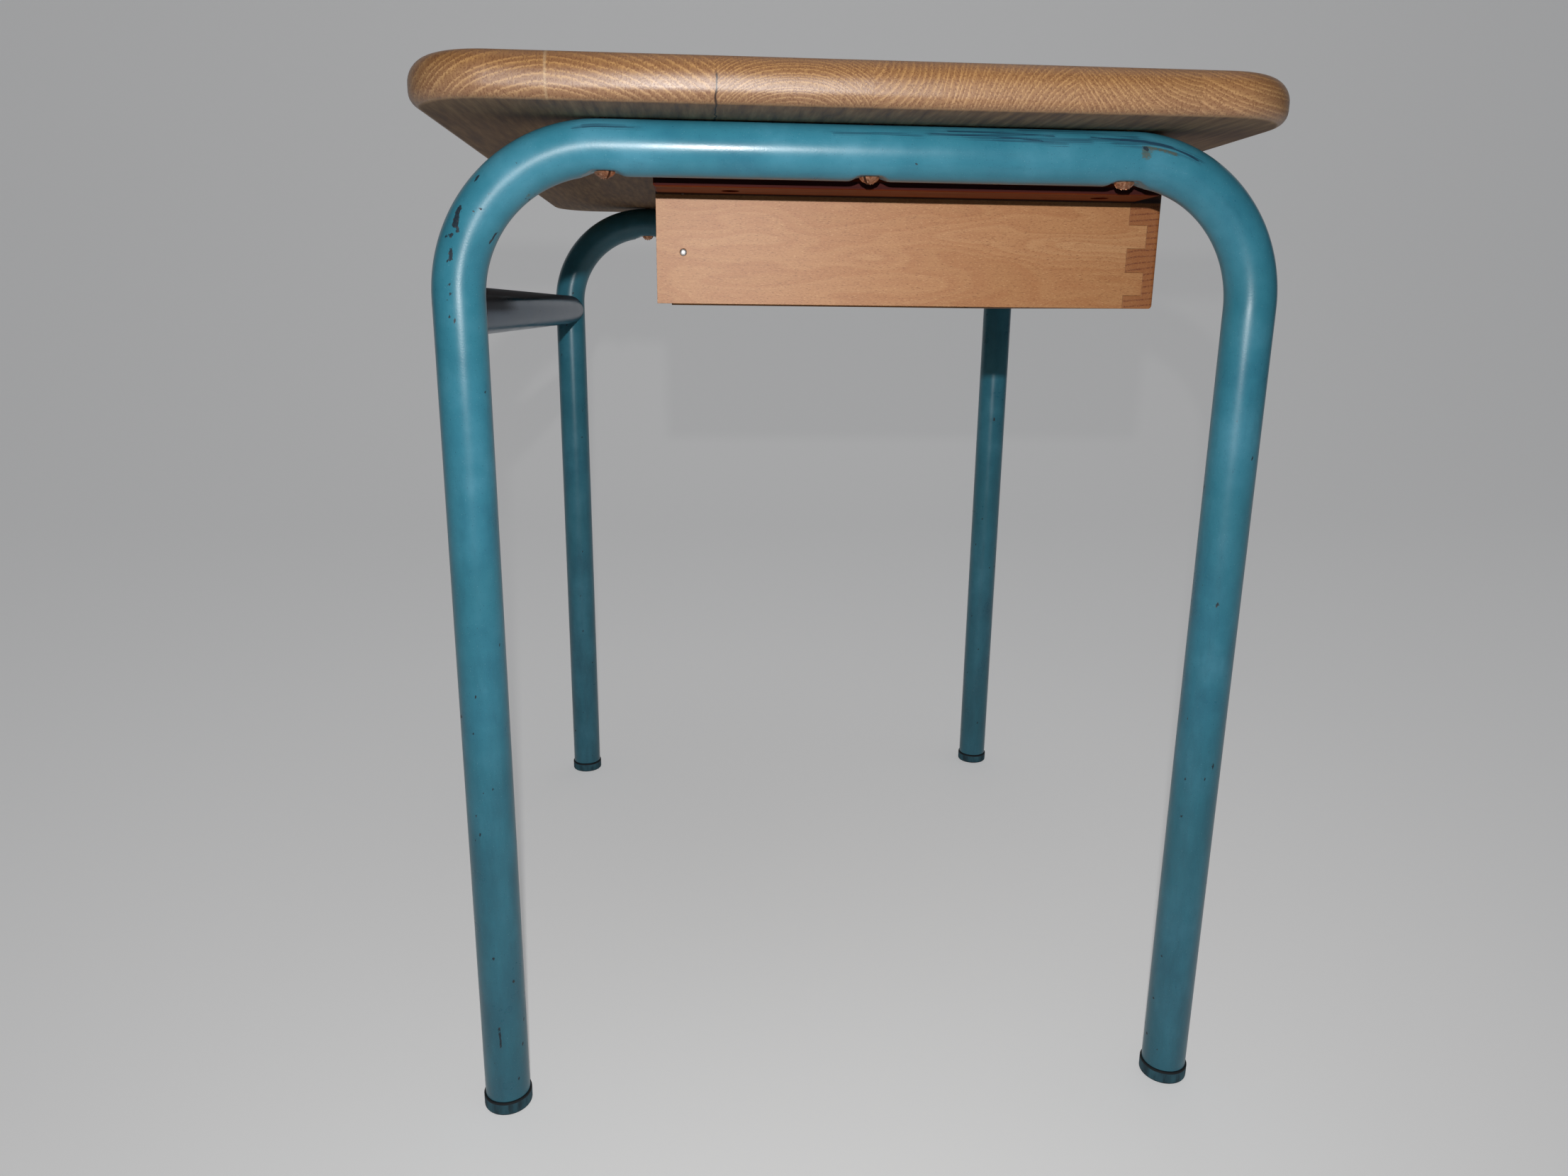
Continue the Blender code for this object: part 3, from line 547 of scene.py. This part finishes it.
# The rings lie closer together towards the ends.
shares = np.sin(np.linspace(-math.pi / 2, math.pi / 2, bar_rings))
bar = np.concatenate([bar_points(bar_radius, shares), bar_points(bar_radius - tube_wall, shares[::-1])])
mesh = grid_mesh(bar, close_rows=True)
add_piece("stretcher", mesh, chrome, "desk", "plated_steel", "stretcher_bar")


# Desktop
# One oak board, 22 mm thick, glued up from sawn staves that run the long way, its corners rounded, its top
# arris rounder than its lower one. Honey varnish over it, thinner underneath. The ends show the rings.

top_edge_radius = 0.012
bottom_edge_radius = 0.0065
corner_radius = 0.043
corner_steps = 20
top_edge_steps = 12
bottom_edge_steps = 8

oak = new_material("oak_staves_honey_varnish")
place = add_node(oak, "TexCoord").outputs["Object"]
along, depth, up = add_node(oak, "SeparateXYZ", [place]).outputs
# The staves from the front edge back: where each starts across the board, then its pith's y and z and its
# ring width, as shares of -0.25 to 0.25, 0.40 to 0.80 and 1 to 5 mm, then its tone.
# The tones fall from the front edge back: partly the staves' own, partly painted light.
staves = [
    (0.000, (0.120, 0.640, 0.42, 1.02)), (0.144, (0.190, 0.570, 0.28, 0.96)),
    (0.279, (0.300, 0.405, 0.32, 0.92)), (0.426, (0.542, 0.500, 0.56, 0.87)),
    (0.502, (0.589, 0.350, 0.13, 0.84)), (0.671, (0.822, 0.190, 0.50, 0.86)),
    (0.847, (0.810, 0.275, 0.50, 0.84)),
]
across = add_node(oak, "MapRange", [depth, -0.2135, 0.2235])
stave = add_node(oak, "ValToRGB", [across], staves)
stave.color_ramp.interpolation = "CONSTANT"
red, green, blue = add_node(oak, "SeparateColor", [stave]).outputs
pith_y = add_node(oak, "MapRange", {0: red, 3: -0.25, 4: 0.25})
pith_z = add_node(oak, "MapRange", {0: green, 3: 0.40, 4: 0.80})
ring_width = add_node(oak, "MapRange", {0: blue, 3: 0.001, 4: 0.005})
# The rings wander by a millimetre or two, slowly along the grain and faster across it.
wander = drawn_noise(oak, place, (3.0, 16.0, 16.0), 1.0).outputs["Color"]
centred = add_node(oak, "VectorMath", [wander, (0.5, 0.5, 0.5)], operation="SUBTRACT")
shift = [centred, (0.0, 0.009, 0.006), place]
moved = add_node(oak, "VectorMath", shift, operation="MULTIPLY_ADD")
_, moved_y, moved_z = add_node(oak, "SeparateXYZ", [moved]).outputs
from_pith_y = add_node(oak, "Math", [moved_y, pith_y], operation="SUBTRACT")
from_pith_z = add_node(oak, "Math", [moved_z, pith_z], operation="SUBTRACT")
offset = add_node(oak, "CombineXYZ", {1: from_pith_y, 2: from_pith_z})
distance = add_node(oak, "VectorMath", [offset], operation="LENGTH").outputs["Value"]
bearing = add_node(oak, "Math", [from_pith_y, from_pith_z], operation="ARCTAN2")
arc = add_node(oak, "Math", [bearing, distance], operation="MULTIPLY")
# A lace of rays crosses the rings every millimetre, and nudges the rings where it does.
lace_place = add_node(oak, "CombineXYZ", [along, arc, distance])
lace = drawn_noise(oak, lace_place, (60.0, 1000.0, 300.0), 1.0)
ring_count = add_node(oak, "Math", [distance, ring_width], operation="DIVIDE")
nudged = add_node(oak, "Math", [lace, 0.42, ring_count], operation="MULTIPLY_ADD")
uneven = add_node(oak, "TexNoise", {"W": ring_count, "Scale": 0.5, "Detail": 1.0}, noise_dimensions="1D")
ring_place = add_node(oak, "Math", [uneven, 1.1, nudged], operation="MULTIPLY_ADD")
ring = add_node(oak, "Math", [ring_place], operation="FRACT")
# Each ring: a thin pale line of earlywood, a darker line of pores, then brown latewood.
ring_tone = add_node(oak, "ValToRGB", [ring], [
    (0.0, "#CDAA83"), (0.10, "#C3A07C"), (0.24, "#A07C5F"), (0.48, "#9C785C"), (0.76, "#A58264"),
    (0.90, "#B8956F"), (1.0, "#CDAA83"),
])
# On the long faces the rings are cut nearly flat and show as quieter stripes, and the front staves are
# plainer.
normal = add_node(oak, "NewGeometry").outputs["Normal"]
facing_x, _, facing_z = add_node(oak, "SeparateXYZ", [normal]).outputs
end_on = add_node(oak, "Math", [facing_x], operation="ABSOLUTE")
face_calm = add_node(oak, "MapRange", [end_on, 0.35, 0.85, 0.65, 0.0])
front_calm = add_node(oak, "MapRange", {0: depth, 1: 0.06, 2: -0.06, 4: 0.22})
calm = add_node(oak, "Math", [face_calm, front_calm], operation="MAXIMUM")
ray_mask = add_node(oak, "MapRange", {0: lace, 1: 0.54, 2: 0.68, 4: 0.30})
# Pores: dots a third of a millimetre across on the ends, dashes 9 mm long on the faces.
pores = drawn_noise(oak, place, (110.0, 1300.0, 1300.0), 1.0)
early = add_node(oak, "MapRange", [ring, 0.25, 0.75, 0.50, 0.56])
pore_gap = add_node(oak, "Math", [pores, early], operation="SUBTRACT")
pore_mask = add_node(oak, "MapRange", {0: pore_gap, 2: 0.10, 4: 0.60})
wood = layered(oak, ring_tone, (calm, "#AF8458"), (ray_mask, "#CDAB80"), (pore_mask, "#7A5238"))
toned = add_node(oak, "VectorMath", {0: wood, "Scale": stave.outputs["Alpha"]}, operation="SCALE")
# The varnish is thicker and more amber over the top edge, an amber that also paints in shade where the
# rounded arris turns from the light. Faces that point down get a darker, greyer brown, partly stain and grime
# and partly painted shade.
clouds = add_node(oak, "TexNoise", {"Vector": place, "Scale": 14.0, "Detail": 3.0})
level = add_node(oak, "Math", [clouds, 0.008, up], operation="MULTIPLY_ADD")
amber_and_shade = add_node(oak, "MapRange", [level, 0.578, 0.598])
tint = add_node(oak, "ValToRGB", [amber_and_shade], [(0.0, "#F8EFE8"), (0.45, "#F8EBD4"), (1.0, "#E4C68C")])
honey = add_node(oak, "Mix", {0: 1.0, 6: toned, 7: tint}, data_type="RGBA", blend_type="MULTIPLY")
under_figure = drawn_noise(oak, place, (26.0, 250.0, 250.0), 4.0, 0.6)
under_stops = [(0.3, "#684A36"), (0.5, "#8D6A4A"), (0.7, "#AD8862")]
under_tone_and_shade = add_node(oak, "ValToRGB", [under_figure], under_stops)
down = add_node(oak, "MapRange", [facing_z, -0.93, -0.99])
# Painted highlight: the lower arris is drawn a little paler.
slope = add_node(oak, "MapRange", [facing_z, -1.0, 0.0])
highlight_share = (0.12, 0.12, 0.12, 1.0)
arris_highlight_stops = [(0.004, "#000000"), (0.02, highlight_share), (0.07, highlight_share), (0.14, "#000000")]
arris_highlight = add_node(oak, "ValToRGB", [slope], arris_highlight_stops)
finish = layered(oak, honey.outputs[2], (down, under_tone_and_shade), (arris_highlight, "#C8AA7E"))
# Two glue lines show: a pale one near the rear corner, and one that has opened by the left end.
wobble = add_node(oak, "TexNoise", {"Vector": place, "Scale": 110.0, "Detail": 2.0})
by_end = add_node(oak, "MapRange", [along, -0.18, -0.26])
for line_place, sway, width, tone, strength, lowest, highest in (
    (0.1562, 0.0008, 0.0010, "#DCC39C", 0.25, 0.5735, 0.7000),
    (0.0779, 0.0030, 0.0007, "#2A1408", 0.97, 0.5700, 0.5865),
):
    line_y = add_node(oak, "Math", [wobble, sway, line_place], operation="MULTIPLY_ADD")
    line_gap = add_node(oak, "Math", [depth, line_y], operation="SUBTRACT")
    line_gap = add_node(oak, "Math", [line_gap], operation="ABSOLUTE")
    share = add_node(oak, "MapRange", {0: line_gap, 1: width, 2: width / 4, 4: strength})
    below_top = add_node(oak, "MapRange", [up, highest, highest - 0.002])
    above_foot = add_node(oak, "MapRange", [up, lowest - 0.001, lowest])
    for limit in (below_top, above_foot, by_end):
        share = add_node(oak, "Math", [share, limit], operation="MULTIPLY")
    finish = layered(oak, finish, (share, tone))
satin = add_node(oak, "MapRange", [clouds, 0.3, 0.7, 0.36, 0.48])
rough = add_node(oak, "Mix", {0: down, 2: satin, 3: 0.95})
relief = add_node(oak, "Math", [pore_mask, -1.0, ring], operation="MULTIPLY_ADD")
bump = add_node(oak, "Bump", {"Height": relief, "Strength": 0.25, "Distance": 0.00015})
connect(oak, Base_Color=finish, Roughness=rough, Normal=bump, Coat_Weight=0.4, Coat_Roughness=0.5)

low, high, middle = box_of("desktop")
half = (high - low) / 2


def board_ring(inset, level):
    """The plan outline, a rounded rectangle, drawn in by the inset, at this level: each corner's centre plus
    what is left of its radius round a quarter turn."""
    ring = []
    for start, (sign_x, sign_y) in enumerate(((1, 1), (-1, 1), (-1, -1), (1, -1))):
        angles = start * math.pi / 2 + np.linspace(0, math.pi / 2, corner_steps)
        left = corner_radius - inset
        x = middle[0] + sign_x * (half[0] - corner_radius) + left * np.cos(angles)
        y = middle[1] + sign_y * (half[1] - corner_radius) + left * np.sin(angles)
        ring.append(np.stack([x, y, np.full(corner_steps, level)], -1))
    return np.concatenate(ring)


def board_centre(level):
    """The middle of the board's face at this level, once for each point of the outline."""
    return np.tile((middle[0], middle[1], level), (4 * corner_steps, 1))


board = [board_centre(low[2]), board_ring(corner_radius, low[2])]
for angle in np.linspace(-math.pi / 2, 0, bottom_edge_steps):
    rise = bottom_edge_radius * (1 + math.sin(angle))
    board.append(board_ring(bottom_edge_radius * (1 - math.cos(angle)), low[2] + rise))
for angle in np.linspace(0, math.pi / 2, top_edge_steps):
    drop = top_edge_radius * (1 - math.sin(angle))
    board.append(board_ring(top_edge_radius * (1 - math.cos(angle)), high[2] - drop))
board += [board_ring(corner_radius, high[2]), board_centre(high[2])]
mesh = grid_mesh(np.array(board))
add_piece("desktop_board", mesh, oak, "desk", "varnished_oak", "desktop")


# Screws
# Slotted brass wood screws. Those through the crossbars have raised heads sunk in the pressed flats, burred
# by a screwdriver; the plainer ones sit in the runners' counterbores and inside the drawer.

brass = new_material("slotted_brass_screw_tarnished")
place = add_node(brass, "TexCoord").outputs["Object"]
tarnish = add_node(brass, "TexNoise", {"Vector": place, "Scale": 600.0, "Detail": 4.0, "Roughness": 0.65})
tone = add_node(brass, "ValToRGB", [tarnish], [(0.3, "#7A4A34"), (0.5, "#AE7A5C"), (0.7, "#DDAF92")])
worn = add_node(brass, "MapRange", [tarnish, 0.3, 0.7, 0.6, 0.42])
bump = add_node(brass, "Bump", {"Height": tarnish, "Strength": 0.5, "Distance": 0.0002})
connect(brass, Base_Color=tone, Roughness=worn, Metallic=1.0, Normal=bump)


strips = 12
points_across = 13
slot_wall_turn = 1e-3
slot_depth_share = 0.15
burr_turn = 0.15


def slotted_screw(rim, axis, turn, head, dome, cone, shank, length, tip, slot, burr=0.0):
    """The head's top is cut in strips parallel to its slot, each as long as the circle's chord there, raised
    to the dome and dropped in the slot. A burr is a lip along the slot, its height a wave that fades to the
    rim. Below the top the same rim narrows to the cone, shank and tip."""
    edge = math.asin(slot / 2 / head)
    half = np.linspace(edge, math.pi / 2, strips)
    turns = np.concatenate([-half[::-1], [-edge + slot_wall_turn, edge - slot_wall_turn], half])[:, None]
    run = np.linspace(-1, 1, points_across)
    x = np.cos(turns) * head * run
    y = np.sin(turns) * head + 0 * run
    lip = np.exp(-(((np.abs(turns) - edge) / burr_turn) ** 2)) * (1 - run**2)
    wave = 0.6 + 0.4 * np.sin(13 * run + 5 * np.sign(turns))
    z = dome * (1 - ((x**2 + y**2) / head**2) ** 2) + burr * lip * wave
    z = np.where(np.abs(turns) < edge, np.minimum(z, 0) - slot_depth_share * head, z)
    top = np.stack([x, y, z], -1)
    rim_line = np.concatenate([top[:, -1], top[::-1, 0]])
    narrower = [
        rim_line * (radius / head, radius / head, 0) - (0, 0, depth)
        for radius, depth in ((shank, cone), (shank, length - tip), (0, length))
    ]
    lower = np.array([rim_line, *narrower])
    cells = np.arange(top.size // 3).reshape(top.shape[:2])
    rings = top.size // 3 + np.arange(lower.size // 3).reshape(lower.shape[:2])
    rings = np.concatenate([rings, rings[:, :1]], 1)
    points = np.concatenate([top.reshape(-1, 3), lower.reshape(-1, 3)])
    faces = np.concatenate([quads(cells), quads(rings)])
    mesh = smooth_mesh(points, faces, crease=30, outward=True)
    spin = Matrix.Rotation(math.radians(turn), 4, "Z")
    stand = Vector((0, 0, 1)).rotation_difference(Vector(axis)).to_matrix().to_4x4()
    mesh.transform(Matrix.Translation(rim) @ stand @ spin)
    return mesh


def add_screw(node, body, shape, rim, axis, turn):
    """A brass screw of this shape, its head's rim at this place and its slot at this turn."""
    mesh = slotted_screw(rim, axis, turn, **shape)
    add_piece(node + "_brass", mesh, brass, body, "screw_brass", node)


# The pressed flat lies this far above the lowest point of the CAD screw, whose head stands lower in the
# photo.
frame_screw_seat = 0.0017
frame_screw = dict(
    head=0.0054, dome=0.0026, cone=0.0026, shank=0.0021, length=0.041, tip=0.006, slot=0.0012, burr=0.0011
)
for side, side_turn in (("left", -15), ("right", -45)):
    for number, turn in ((1, 24), (2, -38), (3, 71)):
        node = f"{side}_frame_screw_{number}"
        low, _, middle = box_of(node)
        rim = (middle[0], middle[1], low[2] + frame_screw_seat)
        add_screw(node, "desk", frame_screw, rim, (0, 0, -1), turn + side_turn)

runner_screw = dict(head=0.0040, dome=0.0009, cone=0.0024, shank=0.0019, length=0.032, tip=0.005, slot=0.0010)
for side, end in sides:
    for row, turn in (("front", 40), ("rear", -15)):
        node = f"{side}_runner_screw_{row}"
        low, _, middle = box_of(node)
        rim = (middle[0], middle[1], low[2] + runner_screw["dome"])
        add_screw(node, "desk", runner_screw, rim, (0, 0, -1), turn)

cleat_screw = dict(head=0.0036, dome=0.0004, cone=0.0022, shank=0.0016, length=0.0195, tip=0.003, slot=0.0009)
for side, end in sides:
    for row, turn in (("front", 10), ("rear", 62)):
        node = f"{side}_cleat_screw_{row}"
        low, high, middle = box_of(node)
        inner_x = low[0] if end > 0 else high[0]
        rim = (inner_x + end * cleat_screw["dome"], middle[1], middle[2])
        add_screw(node, "drawer", cleat_screw, rim, (-end, 0, 0), turn)


# Runners
# L-shaped hardwood rails, stained dark and varnished, with a rebate that carries the drawer's cleats and
# stops short of the rear end. Each is screwed up into the desktop through two counterbores.


def whole_board(node, swell=0.0):
    """A copy of the CAD board with its flat faces made whole. It may be swelled, so that glued joints close:
    each corner moves out along its normal, by the root of three times the swell."""
    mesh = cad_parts[node].data.copy()
    bm = bmesh.new()
    bm.from_mesh(mesh)
    bmesh.ops.remove_doubles(bm, verts=bm.verts, dist=2e-5)
    bmesh.ops.dissolve_limit(bm, angle_limit=math.radians(1), verts=bm.verts, edges=bm.edges)
    bm.to_mesh(mesh)
    bm.free()
    corners, normals = np.empty((2, len(mesh.vertices) * 3))
    mesh.vertices.foreach_get("co", corners)
    mesh.vertices.foreach_get("normal", normals)
    mesh.vertices.foreach_set("co", corners + normals * swell * math.sqrt(3))
    return mesh


def ease(obj, width):
    """Rounds the arrises of a finished board by this width, as a stroke of sandpaper does."""
    obj.data.shade_flat()
    easing = obj.modifiers.new("eased_arrises", "BEVEL")
    easing.width = width
    easing.segments = 3
    easing.limit_method = "ANGLE"
    easing.angle_limit = math.radians(40)
    return obj


stained = new_material("hardwood_stained_dark_and_varnished")
place = add_node(stained, "TexCoord").outputs["Object"]
grain = drawn_noise(stained, place, (420.0, 12.0, 420.0), 3.0, 0.6)
tone = add_node(stained, "ValToRGB", [grain], [(0.3, "#561F0A"), (0.55, "#7C310C"), (0.75, "#984410")])
# Painted shade: the lower part of the outer face is darkened where the crossbar's shadow falls, and the
# corner along the drawer is painted near black as the shadow mirrored in the varnish.
across, _, up = add_node(stained, "SeparateXYZ", [place]).outputs
outward = add_node(stained, "Math", [across], operation="ABSOLUTE")
outer_face = add_node(stained, "MapRange", [outward, 0.2376, 0.2384])
low_part = add_node(stained, "MapRange", [up, 0.5474, 0.5466])
outer_face_shade = add_node(stained, "Math", [outer_face, low_part], operation="MULTIPLY")
corner_shade = add_node(stained, "MapRange", [outward, 0.2085, 0.2060])
runner_shade_mask = add_node(stained, "Math", [outer_face_shade, corner_shade], operation="MAXIMUM")
finish = layered(stained, tone, (outer_face_shade, "#3E1C1A"), (corner_shade, "#200A09"))
sheen = add_node(stained, "Mix", {0: runner_shade_mask, 2: 0.5, 3: 0.8})
bump = add_node(stained, "Bump", {"Height": grain, "Strength": 0.10, "Distance": 0.0001})
connect(stained, Base_Color=finish, Roughness=sheen, Specular_IOR_Level=0.06, Normal=bump)

for side in ("left", "right"):
    mesh = whole_board(side + "_runner")
    ease(add_piece(side + "_rail", mesh, stained, "desk", "brown_varnished_wood", side + "_runner"), 0.0004)


# Drawer
# Beech boards, clear varnished: the front lapped over the sides with machine-cut fingers, whose end grain
# shows as red-brown pins at the corner; the back nailed between the sides, cleats screwed along the top.


def beech(name, grain_along, tones):
    """Steamed beech with its grain along this axis: faint growth rings, broad warm clouds, and the short
    flecks of its rays, 1 mm long and a quarter of one wide, most of them dark. The tones are three for the
    clouds and one for the arches."""
    wood = new_material(name)
    place = add_node(wood, "TexCoord").outputs["Object"]
    across = add_node(wood, "SeparateXYZ", [place]).outputs["X"]
    turn = (0.0, 0.0, math.pi / 2) if grain_along == "Y" else (0.0, 0.0, 0.0)
    place = add_node(wood, "Mapping", {"Vector": place, "Rotation": turn})
    _, side, up = add_node(wood, "SeparateXYZ", [place]).outputs
    slow = drawn_noise(wood, place, (7.0, 34.0, 34.0), 2.0)
    base = add_node(wood, "ValToRGB", [slow], [(0.30, tones[0]), (0.5, tones[1]), (0.70, tones[2])])
    # Where the face runs along a ring, its outline shows as faint nested arches.
    arches = add_node(wood, "Math", [slow, 14.0], operation="MULTIPLY")
    arch = add_node(wood, "Math", [arches], operation="FRACT")
    arch_stops = [(0.0, "#000000"), (0.70, "#B4B4B4"), (0.95, "#000000")]
    arch_mask = add_node(wood, "ValToRGB", [arch], arch_stops)
    # Growth rings 3.4 mm apart, nearly level, each closed by a thin line of dotted latewood.
    centred = add_node(wood, "Math", [slow, 0.004, -0.002], operation="MULTIPLY_ADD")
    tilt = [side, 0.10, up]
    level = add_node(wood, "Math", tilt, operation="MULTIPLY_ADD")
    wavy = add_node(wood, "Math", [level, centred], operation="ADD")
    ring_count = add_node(wood, "Math", [wavy, 0.0034], operation="DIVIDE")
    ring = add_node(wood, "Math", [ring_count], operation="FRACT")
    ring_stops = [(0.0, "#000000"), (0.60, "#000000"), (0.82, "#FFFFFF"), (1.0, "#000000")]
    ring_line = add_node(wood, "ValToRGB", [ring], ring_stops)
    dots = drawn_noise(wood, place, (60.0, 1100.0, 1100.0), 1.0)
    dot_mask = add_node(wood, "MapRange", [dots, 0.34, 0.62, 0.15, 1.0])
    facing = add_node(wood, "SeparateXYZ", [add_node(wood, "NewGeometry").outputs["Normal"]])
    end_on = add_node(wood, "Math", [facing.outputs[grain_along]], operation="ABSOLUTE")
    end_share = add_node(wood, "MapRange", [end_on, 0.5, 0.9, 0.08, 1.0])
    lines = add_node(wood, "Math", [ring_line, dot_mask], operation="MULTIPLY")
    ring_mask = add_node(wood, "Math", [lines, end_share], operation="MULTIPLY")
    # Cut across, the same wood is a redder brown.
    end_tone = add_node(wood, "MapRange", {0: end_on, 1: 0.5, 2: 0.9, 4: 0.55})
    flecks = drawn_noise(wood, place, (650.0, 2800.0, 2800.0), 1.0)
    dark_flecks = add_node(wood, "MapRange", {0: flecks, 1: 0.60, 2: 0.72, 4: 0.75})
    pale_flecks = add_node(wood, "MapRange", {0: flecks, 1: 0.38, 2: 0.26, 4: 0.35})
    # Painted shade: a dark band along the drawer's outside, just under the runners' lower edge, where the
    # crossbar's shadow falls.
    band_level = add_node(wood, "Math", [slow, 0.0008, up], operation="MULTIPLY_ADD")
    shade_band_foot = add_node(wood, "MapRange", [band_level, 0.5430, 0.5436])
    shade_band_top = add_node(wood, "MapRange", [band_level, 0.5500, 0.5450])
    away = add_node(wood, "Math", [across], operation="ABSOLUTE")
    outside = add_node(wood, "MapRange", [away, 0.1960, 0.1970])
    shaded_band = add_node(wood, "Math", [shade_band_foot, shade_band_top], operation="MULTIPLY")
    shade_band_mask = add_node(wood, "Math", [shaded_band, outside], operation="MULTIPLY")
    finish = layered(
        wood, base, (arch_mask, tones[3]), (end_tone, "#8C4F29"), (ring_mask, "#5E2410"),
        (dark_flecks, "#84512B"), (pale_flecks, "#D9AE7C"), (shade_band_mask, "#260F10"),
    )
    bump = add_node(wood, "Bump", {"Height": dark_flecks, "Strength": -0.1, "Distance": 0.0001})
    connect(wood, Base_Color=finish, Roughness=0.5, Normal=bump)
    return wood


side_beech = beech("steamed_beech_side_clear_varnish", "Y", ("#AA7546", "#B37F51", "#BA895C", "#A2663A"))
front_beech = beech("steamed_beech_front_clear_varnish", "X", ("#9F6737", "#A97343", "#B37F4E", "#8F572F"))

birch = new_material("birch_plywood_bare")
place = add_node(birch, "TexCoord").outputs["Object"]
figure = drawn_noise(birch, place, (16.0, 90.0, 90.0), 4.0, 0.6)
tone = add_node(birch, "ValToRGB", [figure], [(0.3, "#C9A77C"), (0.7, "#DCC09A")])
connect(birch, Base_Color=tone, Roughness=0.65)

# Each board's CAD node, name, wood and slot, the width of its eased arrises, and how far it is swelled.
drawer_boards = [
    ("drawer_front", "front_board", front_beech, "varnished_beech", 0.00012, 0.0001),
    ("left_drawer_side", "left_side_board", side_beech, "varnished_beech", 0.00012, 0.0001),
    ("right_drawer_side", "right_side_board", side_beech, "varnished_beech", 0.00012, 0.0001),
    ("drawer_back", "back_board", front_beech, "varnished_beech", 0.0004, 0.0),
    ("drawer_bottom", "bottom_sheet", birch, "plywood", 0.0002, 0.0),
    ("left_cleat", "left_cleat_strip", side_beech, "varnished_beech", 0.0005, 0.0),
    ("right_cleat", "right_cleat_strip", side_beech, "varnished_beech", 0.0005, 0.0),
]
for node, name, material, slot, width, swell in drawer_boards:
    mesh = whole_board(node, swell)
    ease(add_piece(name, mesh, material, "drawer", slot, node), width)

# The nails that hold the back: round wire, their heads set flush and bright.
wire = new_material("drawn_steel_wire_nail")
place = add_node(wire, "TexCoord").outputs["Object"]
scale_marks = add_node(wire, "TexNoise", {"Vector": place, "Scale": 900.0, "Detail": 3.0})
tone = add_node(wire, "ValToRGB", [scale_marks], [(0.35, "#B5B0AD"), (0.65, "#E6E3E0")])
connect(wire, Base_Color=tone, Roughness=0.36, Metallic=1.0)

nail_profile = [
    (0, -0.030), (0.0009, -0.027), (0.0009, -0.0009), (0.0019, -0.0007), (0.0019, -0.0002), (0.0016, 0.0),
    (0, 0.0002),
]
for side, end in sides:
    for number in (1, 2):
        name = f"{side}_back_nail_{number}"
        low, high, middle = box_of(name)
        head = (high[0] if end > 0 else low[0], middle[1], middle[2])
        mesh = grid_mesh(turned_points(nail_profile, head, (end, 0, 0), 32))
        add_piece(name + "_wire", mesh, wire, "drawer", "nail_steel", name)


# Floor and light
# A plain pale floor that curves up behind the desk, a small lamp beside the camera and a wide one overhead.
# Past the paper's edge the camera sees the same pale grey.

paper = new_material("pale_paper_floor")
connect(paper, Base_Color="#D9D8D6", Roughness=0.9)
# Seen directly or in the plating, the paper is lifted to a pale grey; it lights nothing.
rays_of = add_node(paper, "LightPath")
seen = rays_of.outputs["Is Camera Ray"]
for kind in ("Is Glossy Ray", "Is Transmission Ray"):
    seen = add_node(paper, "Math", [seen, rays_of.outputs[kind]], operation="ADD")
lift = add_node(paper, "Math", [seen, 0.31], operation="MULTIPLY")
connect(paper, Emission_Color="#F2F3F5", Emission_Strength=lift)

paper_front = -3.0
paper_half_width = 4.0
paper_top = 3.0
wall_foot = 1.6
wall_bend = 0.8
bend_angles = np.linspace(0.1, math.pi / 2, 12)
wall_x = wall_foot + wall_bend
x = np.concatenate([[paper_front, wall_foot], wall_foot + wall_bend * np.sin(bend_angles), [wall_x]])
z = np.concatenate([[0, 0], wall_bend * (1 - np.cos(bend_angles)), [paper_top]])
y = np.tile((-paper_half_width, paper_half_width), len(x))
faces = 2 * np.arange(len(x) - 1)[:, None] + (0, 2, 3, 1)
mesh = bpy.data.meshes.new("floor")
mesh.from_pydata(np.stack([np.repeat(x, 2), y, np.repeat(z, 2)], -1), [], faces)
mesh.shade_smooth()
mesh.materials.append(paper)
floor = bpy.data.objects.new("floor", mesh)
bpy.context.scene.collection.objects.link(floor)


def add_lamp(name, place, target, size, power, spread=180):
    """A square lamp of this size in metres, aimed at a point, its beam spread over this many degrees."""
    lamp = bpy.data.objects.new(name, bpy.data.lights.new(name, "AREA"))
    lamp.data.size = size
    lamp.data.energy = power
    lamp.data.spread = math.radians(spread)
    lamp.location = place
    lamp.rotation_euler = (Vector(target) - Vector(place)).to_track_quat("-Z", "Y").to_euler()
    bpy.context.scene.collection.objects.link(lamp)


add_lamp("lamp_by_camera", (-0.86, 0.095, 0.583), (-0.20, 0.04, 0.43), 0.010, 2.85, 150)
add_lamp("lamp_overhead", (0.2, -0.3, 2.6), (0.0, 0.0, 0.3), 2.2, 7.0)

world = bpy.data.worlds.new("studio")
bpy.context.scene.world = world
world.use_nodes = True
camera_ray = add_node(world, "LightPath").outputs["Is Camera Ray"]
strength = add_node(world, "Math", [camera_ray, 0.40, 0.06], operation="MULTIPLY_ADD")
connect(world, Color="#F2F3F5", Strength=strength)
bpy.context.scene.view_settings.view_transform = "Standard"
